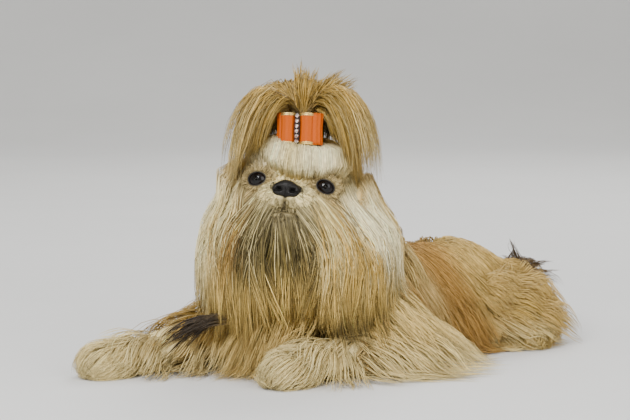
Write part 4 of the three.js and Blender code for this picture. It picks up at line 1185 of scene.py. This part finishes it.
def bell_tone(strands, jitter=6.0):
    """Round the bell: pale at both sides, painted shade at the mouth corners, an olive beard partly darkened
    by painted shade, a painted shadow line beside the pale side, and gold at the hem.
    """
    path = strands["path"]
    n = len(path)
    turn = np.degrees(np.arctan2(path[..., 0] - BELL_AXIS[0], BELL_AXIS[1] - path[..., 1]))
    turn = turn + (rng.normal(0, jitter, strands["which"].max() + 1)[strands["which"]])[:, None]
    turn = turn + rng.normal(0, jitter * 0.6, (n, 1))
    height = path[..., 2] + rng.normal(0, 5, (n, 1))
    made = stepped(turn, BELL_STOPS)
    made = mixed(made, CREAM, 0.2 * between(115, 140, height) * between(24, 10, np.abs(turn - FACE_WAY)))
    # A painted shadow line of brown gold runs along the inner edge of the white on the dog's left; the white
    # begins beyond it.
    shadow_line = np.interp(height, [62, 95, 140, 170], [72, 52, 32, 24])
    made = mixed(made, WHITE, between(shadow_line, shadow_line + 8, turn) * between(90, 76, turn))
    made = mixed(made, mixed(GOLD, BROWN, 0.3), 0.9 * near(turn, shadow_line - 3, 7) * between(60, 80, height))
    pale = (rng.random((n, 1)) < 0.2) * between(95, 130, height) + (rng.random((n, 1)) < 0.12)
    made = mixed(made, CREAM, 0.85 * np.clip(pale, 0, 1) * between(66, 50, np.abs(turn)))
    hem = 0.9 * between(105, 66, height) * between(90, 60, np.abs(turn))
    made = mixed(made, mixed(GOLD, STRAW, 0.8), hem)
    made = mixed(made, BLACK, 0.92 * between(52, 43, height) * between(10, 18, turn) * between(62, 50, turn))
    return mixed(made, DUSK, (rng.random(n) < 0.12)[:, None] * 0.6 * between(0.85, 1, strands["share"]))


def long_hair(name, guides, out, roots, tones_of, count=15, spread=7.0, slot="coat_cream", **kind):
    """A piece of long coat: bundles round its guides, in tones worked out from the strands."""
    kind = {"depth": 3.0, "steps": 7, "wave": 1.2, **kind}
    width, nodes = kind.pop("width", 0.85), kind.pop("nodes", ())
    shades = {"contrast": 0.12}
    for shade in ("contrast", "dark", "deep_shade", "root_shade"):
        if shade in kind:
            shades[shade] = kind.pop(shade)
    strands = bundle(guides, out, count, spread, **kind)
    tones = from_root(strands, roots, tones_of(strands))
    coat_piece(name, strands, width, varied(tones, strands, **shades), roots, nodes, slot)


for s, name in zip(SIDES, ("left", "right")):
    n = 165
    t = rng.uniform(0, 1, n) ** 1.4
    level = -18 + 2 * t + rng.uniform(-12, 9, n) * (1 - 0.5 * t)
    roots = onto(skull, head(s * (12 + 22 * t + rng.normal(0, 1, n)), 60 - 26 * t, level), 0.0)
    turn = np.radians(FACE_WAY + s * (32 + 38 * t + rng.normal(0, 5, n)))
    tip = 36 + 10 * t + rng.normal(0, 11, n)
    sway = s * np.radians(6 - rng.exponential(9, n))
    guides, out = hanging(roots, skull, turn, tip, rng.uniform(-9, 4, n), sway, 0.55, quick=0.85)
    kind = {"width": 0.72, "contrast": 0.2, "dark": 0.18, "close": 0.3, "wave": 1.6}
    long_hair("moustache_" + name, guides, out, roots, bell_tone, **kind)

for s, name in zip(SIDES, ("left", "right")):
    n = 100
    t = rng.uniform(0, 1, n)
    roots = onto(skull, head(s * (39 + 8 * t), 36 - 40 * t, -16 + 32 * t + rng.normal(0, 5, n)), 0.0)
    turn = s * np.radians(44 + 44 * t + rng.normal(0, 4, n))
    tip = 62 + rng.normal(0, 10, n)
    guides, out = hanging(roots, skull, turn, tip, rng.uniform(-4, 5, n), spread=0.6, quick=0.3)
    long_hair("cheek_" + name, guides, out, roots, bell_tone, contrast=0.16, dark=0.12, wave=1.6)

# Beard: long straight hair rooted in the skin of the chin.
# It hangs down between the two sides of the moustache and a little behind them.
n = 130
t = rng.uniform(-1, 1, n)
roots = onto(jaw, head(15 * t, 50 + 8 * (1 - t**2), rng.uniform(-46, -33, n)), 0.0)
turn = np.radians(FACE_WAY + 34 * t + rng.normal(0, 3, n))
guides, out = hanging(roots, jaw, turn, 40 + rng.normal(0, 9, n), rng.uniform(-34, -14, n), quick=0.5)
kind = {"spread": 6.5, "width": 0.72, "contrast": 0.2, "dark": 0.2, "close": 0.3, "wave": 1.6}
long_hair("beard", guides, out, roots, bell_tone, **kind)

# Ears: heavy falls of long hair, rooted all over the flap of each ear.
# They hang to the bell outside the cheeks and are longest at the front.
for s, name in zip(SIDES, ("left", "right")):
    n = 130
    t = rng.uniform(0, 1, n)
    level = rng.uniform(-30, 24, n)
    roots = onto(ears[s], head(s * 64, 18 - 46 * t, level), 0.0)
    turn = s * np.radians(72 + (44 if s > 0 else 58) * t + rng.normal(0, 4, n))
    tip = 52 + 26 * t + rng.normal(0, 8, n)
    guides, out = hanging(roots, ears[s], turn, tip, rng.uniform(-7, 4, n), s * np.radians(-3), 0.5)
    long_hair("ear_fall_" + name, guides, out, roots, bell_tone, spread=9.0, slot="coat_gold", open_root=0.9)

# Nape: long hair rooted on the back of the head.
# It falls over the hair of the neck and hides the joint of the head and the neck.
n = 75
t = rng.uniform(0, 1, n)
turn = np.radians(132 + 96 * t)
roots = onto(skull, head(np.sin(turn) * 38, np.cos(turn) * 46, rng.uniform(-24, 14, n)), 0.0)
guides, out = hanging(roots, skull, turn, 112 + rng.normal(0, 8, n), rng.uniform(-16, -4, n))
long_hair("nape", guides, out, roots, bell_tone, spread=9.0, slot="coat_gold", steps=6)

# Brow and crown: long hair rooted in a ring round the skull and drawn up smoothly into the elastic band.
# Over the brow it is puffed out and nearly white; behind it lies close to the skull and is golden brown.
BROW_HIGH = 0.56
GATHER = head(0, 25, 45)


def drawn_up(turn, low, puff, steps=14):
    """Hair from a ring round the skull, puffed out at first and then drawn in to the band."""
    roots = onto(skull, head(np.sin(turn) * 38, np.cos(turn) * 44, low), 0.0)
    left, forward, up = np.moveaxis(in_head(roots), -1, 0)
    path, out = [], []
    for i in range(steps + 1):
        u = i / steps
        goal = GATHER + 0.13 * (left[:, None] * HEAD_LEFT + (forward[:, None] - 25) * HEAD_FORWARD)
        p = roots * (1 - u) + goal * u
        p = p + (0.35 * left * (u - between(0.2, 1, u)))[:, None] * HEAD_LEFT
        away = slope(skull, p)
        swell = max(0.0, math.sin(math.pi * min(1, u / BROW_HIGH))) ** 0.75
        raised = onto(skull, p, -0.6 + (puff + 0.6) * swell + 1.6 * min(1, 6 * u))
        closing = between(BROW_HIGH, 1, u)
        path.append(raised * (1 - closing) + p * closing)
        out.append(away)
    return roots, np.stack(path, 1), np.stack(out, 1)


n = 230
turn = np.clip(rng.normal(0.2, 0.55, n), -0.66, 1.25)
low = np.interp(turn, [-0.7, -0.4, 0, 0.5, 0.9, 1.3], [12, 4, -3, -2, 2, 12]) + rng.uniform(0, 7, n)
puff = rng.uniform(6.5, 10.5, n) * between(-0.85, -0.35, turn) * between(1.4, 0.8, turn) + 1
roots, guides, out = drawn_up(turn, low, puff)
BROW_STOPS = [(-40, GOLD), (-30, CREAM), (-16, WHITE), (-2, CREAM), (14, WHITE), (36, WHITE), (43, CREAM)]


def brow_tone(strands):
    """White and cream from side to side, gold further back, with painted shadow streaks, and painted shade
    at the band.
    """
    side, ahead, high = np.moveaxis(in_head(strands["path"]), -1, 0)
    made = mixed(stepped(side, BROW_STOPS), mixed(GOLD, BROWN, 0.4), between(26, 8, ahead))
    # Painted shade: dark streaks between the strands near the middle of the brow.
    shadow_streak = (rng.random(len(side)) < 0.1)[:, None] * 0.7 * between(0.1, 0.5, strands["share"])
    made = mixed(made, mixed(DUSK, OLIVE, 0.4), shadow_streak * between(24, 8, np.abs(side)))
    # Painted shade where the hair is drawn into the band.
    return mixed(made, mixed(BROWN, DUSK, 0.3), 0.85 * between(25, 36, high))


long_hair(
    "brow", guides, out, roots, brow_tone, count=12, spread=4.2, depth=1.6, width=0.5, contrast=0.12,
    close=0.4, wave=0.3, shortest=0.98, open_root=1.0, deep_shade=0.8, root_shade=0.97,
)


def one_tone(colour):
    """The same colour on every strand."""
    return lambda strands: colour * np.ones_like(strands["path"])


n = 80
turn = rng.uniform(1.15, 2 * math.pi - 0.6, n)
low = np.interp(np.cos(turn), [-1, 0.4, 0.8], [4, 17, 10]) + rng.uniform(0, 9, n)
roots, guides, out = drawn_up(turn, low, 2.0)
crown_kind = {"count": 11, "spread": 6.0, "steps": 5, "shortest": 0.98, "slot": "coat_gold"}
long_hair("crown", guides, out, roots, one_tone(mixed(BROWN, GOLD, 0.4)), **crown_kind)

# Topknot: the gathered hair beyond the band, which rises, parts and arches down on both sides and behind.
# Every strand starts inside the band, so that the band holds it.
KNOT = head(0, 25, 53)
KNOT_RISE = 26
KNOT_ROOM = 6.5


def arching(turn, reach, drop, high, steps=12):
    """Hair that rises out of the band, turns outward and drops, clear of the skull and the face."""
    way = np.stack([np.sin(turn), -np.cos(turn), np.zeros(len(turn))], -1)
    path, out = [], []
    for i in range(-1, steps + 1):
        t = max(i, 0) / steps
        fallen = np.clip((t - 0.34) / 0.66, 0, 1) ** 1.5
        up = KNOT_RISE * math.sin(min(t / 0.34, 1) * math.pi / 2) - drop * fallen + high * min(1, 3 * t)
        side = 3 + (reach - 3) * math.sin(t * math.pi / 2) ** 1.05
        p = KNOT + way * np.broadcast_to(side, len(turn))[:, None] + up[:, None] * UP
        if i < 0:
            p = GATHER + way * 3
        p = clear(p, skull, 9 * min(1, t * 2))
        p = off_the_face(p, min(1, 2 * t), KNOT_ROOM)
        path.append(p)
        out.append(unit(UP * (1 - t * t) + way * (0.25 + t)))
    return np.stack(path, 1), np.stack(out, 1)


def knot_tone(strands):
    """Golden brown, with painted shade at the band, light strands and paler ends."""
    path = strands["path"]
    pale = between(50, 72, np.linalg.norm(path[..., :2] - KNOT[:2], axis=-1)) * 0.45
    light = (rng.random(len(path)) < 0.25)[:, None] * 0.5
    base = mixed(GOLD, BROWN, 0.25)
    made = mixed(base, CREAM, np.clip(0.7 * pale + light * strands["share"], 0, 1))
    # Painted shade: the hair is darkened where it leaves the band.
    return mixed(mixed(BROWN, DUSK, 0.3), made, between(0.05, 0.3, strands["share"]))


KNOT_HAIR = {
    "slot": "coat_gold", "nodes": ["topknot"], "spread": 8.0, "open_root": 0.2, "close": 0.5, "wave": 2.0,
    "contrast": 0.2, "dark": 0.14, "deep_shade": 0.55,
}
for s, name in zip(SIDES, ("left", "right")):
    n = 165
    turn = s * np.radians(rng.uniform(48, 136, n))
    outer = np.maximum(rng.random(n) ** 0.8, between(80, 55, np.degrees(np.abs(turn))) * 0.5)
    behind = (np.abs(turn) > 1.3) & (rng.random(n) < 0.4)
    outer = np.where(behind, 0.35 * outer, outer)
    reach = 28 + 44 * outer + rng.normal(0, 2.5, n)
    inner = between(85, 60, np.degrees(np.abs(turn))) * (1 - outer)
    drop = 80 - 4 * s + 18 * (1 - outer) - 38 * inner + rng.normal(0, 7, n)
    high = 22 * outer - 20 + rng.normal(0, 1.5, n)
    over_eye = between(18, 12, np.abs(KNOT[0] + np.sin(turn) * reach - EYES[s][0]))
    longest = KNOT[2] + KNOT_RISE + high - EYES[s][2] - 10
    drop = drop - over_eye * np.maximum(0, drop - longest)
    guides, out = arching(turn, reach, drop, high)
    long_hair("topknot_" + name, guides, out, np.broadcast_to(GATHER, (n, 3)), knot_tone, **KNOT_HAIR)
n = 70
turn = np.radians(rng.uniform(130, 230, n))
guides, out = arching(turn, 68 + rng.normal(0, 3, n), 76 + rng.normal(0, 7, n), rng.uniform(-3, 7, n))
long_hair("topknot_back", guides, out, np.broadcast_to(GATHER, (n, 3)), knot_tone, **KNOT_HAIR)

# Wisps: the topmost ends of the gathered hair, loose and pointed, most of them to the dog's left.
# They stand up out of the band, and each follows its own curved line to a tip.
WISPS = [(-4, 50, 6), (6, 47, 8), (18, 34, 6), (34, 42, 12), (46, 37, 8)]
tips, u = [], np.linspace(0, 1, 10)[:, None]
for aside, high, count in WISPS:
    tips.extend(KNOT + np.array([aside, 0, high]) + rng.normal(0, 1, (count, 3)) * (4, 5, 3))
guides = np.stack([GATHER * (1 - u) + tip * u + np.sin(u * np.pi) * rng.uniform(3, 8) * UP for tip in tips])
out = np.broadcast_to(np.array([0, -1, 0.2]), guides.shape)
roots = np.broadcast_to(GATHER, (len(tips), 3))
wisp_hair = {**KNOT_HAIR, "spread": 3.5, "close": 0.3}
long_hair("topknot_wisps", guides, out, roots, knot_tone, **wisp_hair)

# Neck: a collar of long hair, rooted all round the neck.
# It is combed down over the shoulders and the withers and lies on the coat of the trunk.
def combed(roots, comb, length, field, over=(), lift=2.0, fall=0.6, steps=10):
    """Hair that leaves the skin, turns to its comb direction and falls outside the parts below it."""
    away = slope(field, roots)
    p = roots - 0.6 * away
    path, out = [p], [away]
    way = unit(comb + 0.8 * away)
    layer_up = rng.uniform(1.2, 6, len(roots))
    for i in range(1, steps + 1):
        t = i / steps
        wanted = unit(comb * (1 - fall * t) - UP * fall * (0.3 + t))
        way = unit(way + 0.32 * (wanted - way))
        p = p + way * (length / steps)[:, None]
        lying = slope(field, p)
        floating = np.maximum(field(p) - BODY_CORE - 2 - lift, 0) * between(0.1, 0.6, lying[:, 2])
        p = p - lying * (0.7 * floating)[:, None]
        p = clear(p, field, (BODY_CORE + 1 + lift * min(1, 1.6 * t)) * min(1, 3 * t))
        for layer, depth in over:
            p = clear(p, layer, depth * min(1, 3 * t))
        low = p[:, 2] < layer_up
        p[low, 2] = layer_up[low]
        way[low, 2] = np.maximum(way[low, 2], 0)
        way = unit(way)
        path.append(p)
        away = slope(field, p)
        resting = between(12, 4, p[:, 2])[:, None]
        out.append(unit(away * (1 - resting) + (UP + 0.4 * away) * resting))
    return np.stack(path, 1), np.stack(out, 1)


neck_axis = unit(NECK_TOP - NECK_BASE)
neck_side = unit(np.array([1.0, 0, 0]) - neck_axis[0] * neck_axis)
neck_rear = np.cross(neck_axis, neck_side)
n = 100
turn = rng.uniform(0, 2 * np.pi, n)
way = np.cos(turn)[:, None] * neck_side + np.sin(turn)[:, None] * neck_rear
roots = onto(neck, NECK_BASE + (NECK_TOP - NECK_BASE) * rng.uniform(-0.1, 0.7, n)[:, None] + way * 38, 0.0)
comb = unit(-0.9 * UP + 0.4 * way)
guides, out = combed(roots, comb, 72 + rng.normal(0, 8, n), neck, over_torso, rng.uniform(1, 9, n), 0.8)
kind = {"spread": 11.0, "slot": "coat_gold", "steps": 6}
long_hair("neck_collar", guides, out, roots, one_tone(mixed(GOLD, CREAM, 0.4)), **kind)


# Trunk and rump: long hair rooted along the parting on the spine and on the lower flanks.
# It falls down both sides in broad bands of colour; a fan of shorter hair covers the rump.
def body_tone(strands):
    """The bands of the trunk, with soft borders."""
    return trunk_tone(strands["path"] + rng.normal(0, 4, (len(strands["path"]), 1, 3)))


for s, name in zip(SIDES, ("left", "right")):
    n = 260 if s > 0 else 180
    t = rng.uniform(0, 1, n)
    high = rng.random(n) < 0.55
    side = np.where(high, rng.uniform(1, 14, n), 42)
    level = np.where(high, 112 - 46 * t, rng.uniform(22, 74, n))
    roots = onto(torso, trunk(-46 + 246 * t, s * side, level), 0.0)
    back_way = np.where(high, 0.3 + 1.3 * t, 0.2 + 1.5 * t)[:, None]
    side_way = np.where(high, 1.0, 0.45)[:, None]
    down_way = np.where(high, 0.45, 0.8)[:, None]
    comb = side_way * s * LEFT + back_way * BACK - down_way * UP
    length = np.where(high, 130 - 72 * t, 76 - 34 * t) + rng.normal(0, 7, n)
    keep = tail(roots) > 4
    roots, comb, length, t = roots[keep], unit(comb[keep]), length[keep], t[keep]
    n = len(roots)
    flat = between(0, 0.35, t) * (roots[:, 2] > 60)
    roots = roots - slope(torso, roots) * (BACK_SINK * flat)[:, None]
    lift = rng.uniform(0, 7, n) * (1 - t) * (1 - flat) + rng.uniform(-8, -5, n) * flat
    guides, out = combed(roots, comb, length, torso, over_legs, lift, (0.8 - 0.45 * t)[:, None])
    kind = {"spread": 13.0, "steps": 6, "deep_shade": 0.85, "contrast": 0.07, "dark": 0.04, "width": 0.8}
    long_hair("trunk_" + name, guides, out, roots, body_tone, slot="coat_gold", **kind)

n = 70
across = rng.uniform(-38, 38, n)
roots = onto(torso, trunk(204, across, rng.uniform(12, 50, n)), 0.0)
comb = unit(BACK + across[:, None] / 50 * LEFT)
guides, out = combed(roots, comb, 13 + rng.normal(0, 3, n), torso, (), 0.0, 0.9)
long_hair("rump", guides, out, roots, body_tone, slot="coat_gold", steps=5)

# Legs: long hair rooted on the whole of each leg and combed outward and down.
# Its ends lie on the floor round the dog; on the forelegs it turns pale toward the paws.
LEG_SWING = {"foreleg_left": -0.9, "foreleg_right": 0.8, "hindleg_left": 0.0, "hindleg_right": 0.0}
LEG_LENGTH = {"foreleg_left": 76, "foreleg_right": 60, "hindleg_left": 48, "hindleg_right": 48}
LEG_TONE = {"foreleg_left": mixed(STRAW, CREAM, 0.2), "foreleg_right": mixed(GOLD, BROWN, 0.4)}
for name, made in legs.items():
    fore = name.startswith("fore")
    along = unit((made["wrist"] - made["bend"]) * (1, 1, 0))
    roots = roots_on([name], 165 if fore else 60, lambda p: p[:, 2] > 6)
    n = len(roots)
    away = slope(made["field"], roots) * (1.2, 1.2, 0)
    t = np.clip((roots - made["bend"]) @ along / 90, -0.4, 1)
    swing = LEG_SWING[name] * between(0.95, 0.5, t) + 0.6 * between(0.55, 0.95, t)
    comb = along * swing[:, None] + (0.75 if fore else 0.15) * away - 0.3 * UP + (0 if fore else 1.0) * BACK
    length = LEG_LENGTH[name] * (1 - 0.25 * t) + rng.normal(0, 6, n)
    lift = rng.uniform(1, 4, n)
    guides, out = combed(roots, unit(comb), length, made["all"], (), lift, 0.7 if fore else 0.35)
    toes, leg_colour = made["toes"], LEG_TONE.get(name, mixed(GOLD, STRAW, 0.3))

    def leg_tone(strands):
        """The colour of the leg, paler at the forepaw and near the floor."""
        at_paw = between(62, 20, np.linalg.norm(strands["path"] - toes, axis=-1)) if fore else 0.0
        at_floor = 0.6 * between(42, 14, strands["path"][..., 2])
        pale = np.maximum(at_paw, at_floor) + rng.normal(0.05, 0.12, (len(strands["path"]), 1))
        return mixed(leg_colour, CREAM, np.clip(pale, 0, 1) * np.ones_like(strands["share"]))

    kind = {"count": 14, "spread": 13.0, "close": 0.7, "steps": 6, "width": 0.75}
    if fore:
        kind.update(contrast=0.08, deep_shade=0.8)
    else:
        kind.update(wave=0.5, contrast=0.05, dark=0.03, deep_shade=0.9, depth=1.5)
    long_hair(name + "_hair", guides, out, roots, leg_tone, slot="coat_gold", **kind)

# Paws: soft hair rooted on the whole of each paw, pale on the forepaws.
# It fans out over the toes and rests on the floor.
PAW_SWING = {"foreleg_left": 0.8, "foreleg_right": 0.3}
for name, made in legs.items():
    fore = name.startswith("fore")
    along = unit((made["toes"] - made["wrist"]) * (1, 1, 0))
    paw_name = name.replace("leg", "paw")
    roots = roots_on([paw_name], 105 if fore else 26, lambda p: p[:, 2] > 5)
    n = len(roots)
    away = slope(made["paw"], roots) * (1.1, 1.1, 0)
    comb = unit(0.45 * along + away - 0.45 * UP - PAW_SWING.get(name, 0) * np.array([1.0, 0, 0]))
    length = (32 if fore else 18) + rng.normal(0, 4, n)
    guides, out = surface_guides(roots, comb, length, rng.uniform(4, 10, n), made["paw"])
    guides[..., 2] = np.maximum(guides[..., 2], 1.2)
    paw_tone = one_tone(mixed(STRAW, CREAM, 0.85 if fore else 0.2))
    kind = {"count": 18, "spread": 10.0, "close": 0.9, "steps": 5, "width": 0.6, "wave": 1.1}
    kind.update(contrast=0.08, dark=0.05, deep_shade=0.78)
    long_hair(paw_name + "_hair", guides, out, roots, paw_tone, **kind)

# Apron: long gold hair rooted on the lower chest.
# It runs forward under the hair of the head and over the floor between the forepaws.
n = 110
t = rng.uniform(0, 1, n)
roots = onto(torso, np.stack([-78 + 84 * t, np.full(n, 20.0), rng.uniform(22, 72, n)], -1), 0.0)
comb = unit(np.stack([-0.75 + 0.6 * t, np.full(n, -1.0), np.full(n, -0.2)], -1))
guides, out = combed(roots, comb, 104 + rng.normal(0, 9, n), torso, over_legs, rng.uniform(1, 9, n), 0.55)
kind = {"count": 13, "spread": 11.0, "wave": 2.2, "steps": 6, "deep_shade": 0.78}
long_hair("apron", guides, out, roots, one_tone(mixed(STRAW, BEIGE, 0.4)), slot="coat_gold", **kind)

# Dark lock: the black end of the right ear's hair, a narrow lock that lies over the right foreleg.
# Its strands follow lines that are held clear of the form of the leg and rest on its coat.
n = 9
u = np.linspace(0, 1, 10)[None, :, None]
starts = np.array([-70.0, -28, 53]) + rng.normal(0, 1, (n, 3)) * (3, 2, 2)
ends = np.array([-128.0, -38, 24]) + rng.normal(0, 1, (n, 3)) * (7, 3, 4)
guides = starts[:, None] * (1 - u) + ends[:, None] * u + 9 * np.sin(u * np.pi) * UP
guides = clear(guides.reshape(-1, 3), legs["foreleg_right"]["all"], LEG_COAT + 2).reshape(n, 10, 3)
out = np.broadcast_to(np.array([-0.2, -0.7, 0.6]), guides.shape)
kind = {"spread": 3.4, "close": 0.3, "slot": "coat_gold", "steps": 6}
long_hair("dark_lock", guides, out, starts, one_tone(mixed(BLACK, BROWN, 0.12)), **kind)

# Tail: a dark plume, rooted along the top of the tail, which falls to both sides.
# Loose wisps from the first part of the tail stand up behind the rump.
n = 60
t = rng.uniform(0, 1, n)
place = t * (len(tail_path) - 1)
index = np.minimum(place.astype(int), len(tail_path) - 2)
on = tail_path[index] + (tail_path[index + 1] - tail_path[index]) * (place - index)[:, None]
along = unit(tail_path[index + 1] - tail_path[index])
side = rng.uniform(-1, 1, n)
across = unit(np.cross(UP, along)) * side[:, None]
roots = onto(tail, on + across * 6 + 8 * UP, 0.0)
length, lift = 46 + rng.normal(0, 6, n), rng.uniform(1, 6, n)
guides, out = combed(roots, unit(across * 0.6 + along), length, tail, (), lift, 0.6)
tail_hair = {"count": 14, "slot": "coat_gold", "steps": 6, "wave": 1.6}
long_hair("tail_plume", guides, out, roots, one_tone(mixed(BROWN, DUSK, 0.6)), **tail_hair)
n = 26
roots = tail_path[rng.integers(0, 7, n)] + 7 * UP
aside, risen, across = rng.uniform((-0.2, 0.0, -0.7), (1.1, 0.4, 0.4), (n, 3)).T[..., None]
way = unit(aside * BACK + risen * UP + across * LEFT)
u = np.linspace(0, 1, 8)[None, :, None]
guides = roots[:, None] + way[:, None] * u * rng.uniform(32, 50, n)[:, None, None] - 9 * u**2 * UP
out = np.broadcast_to(UP, guides.shape)
long_hair("tail_wisps", guides, out, roots, one_tone(mixed(BROWN, BLACK, 0.6)), spread=5.0, **tail_hair)
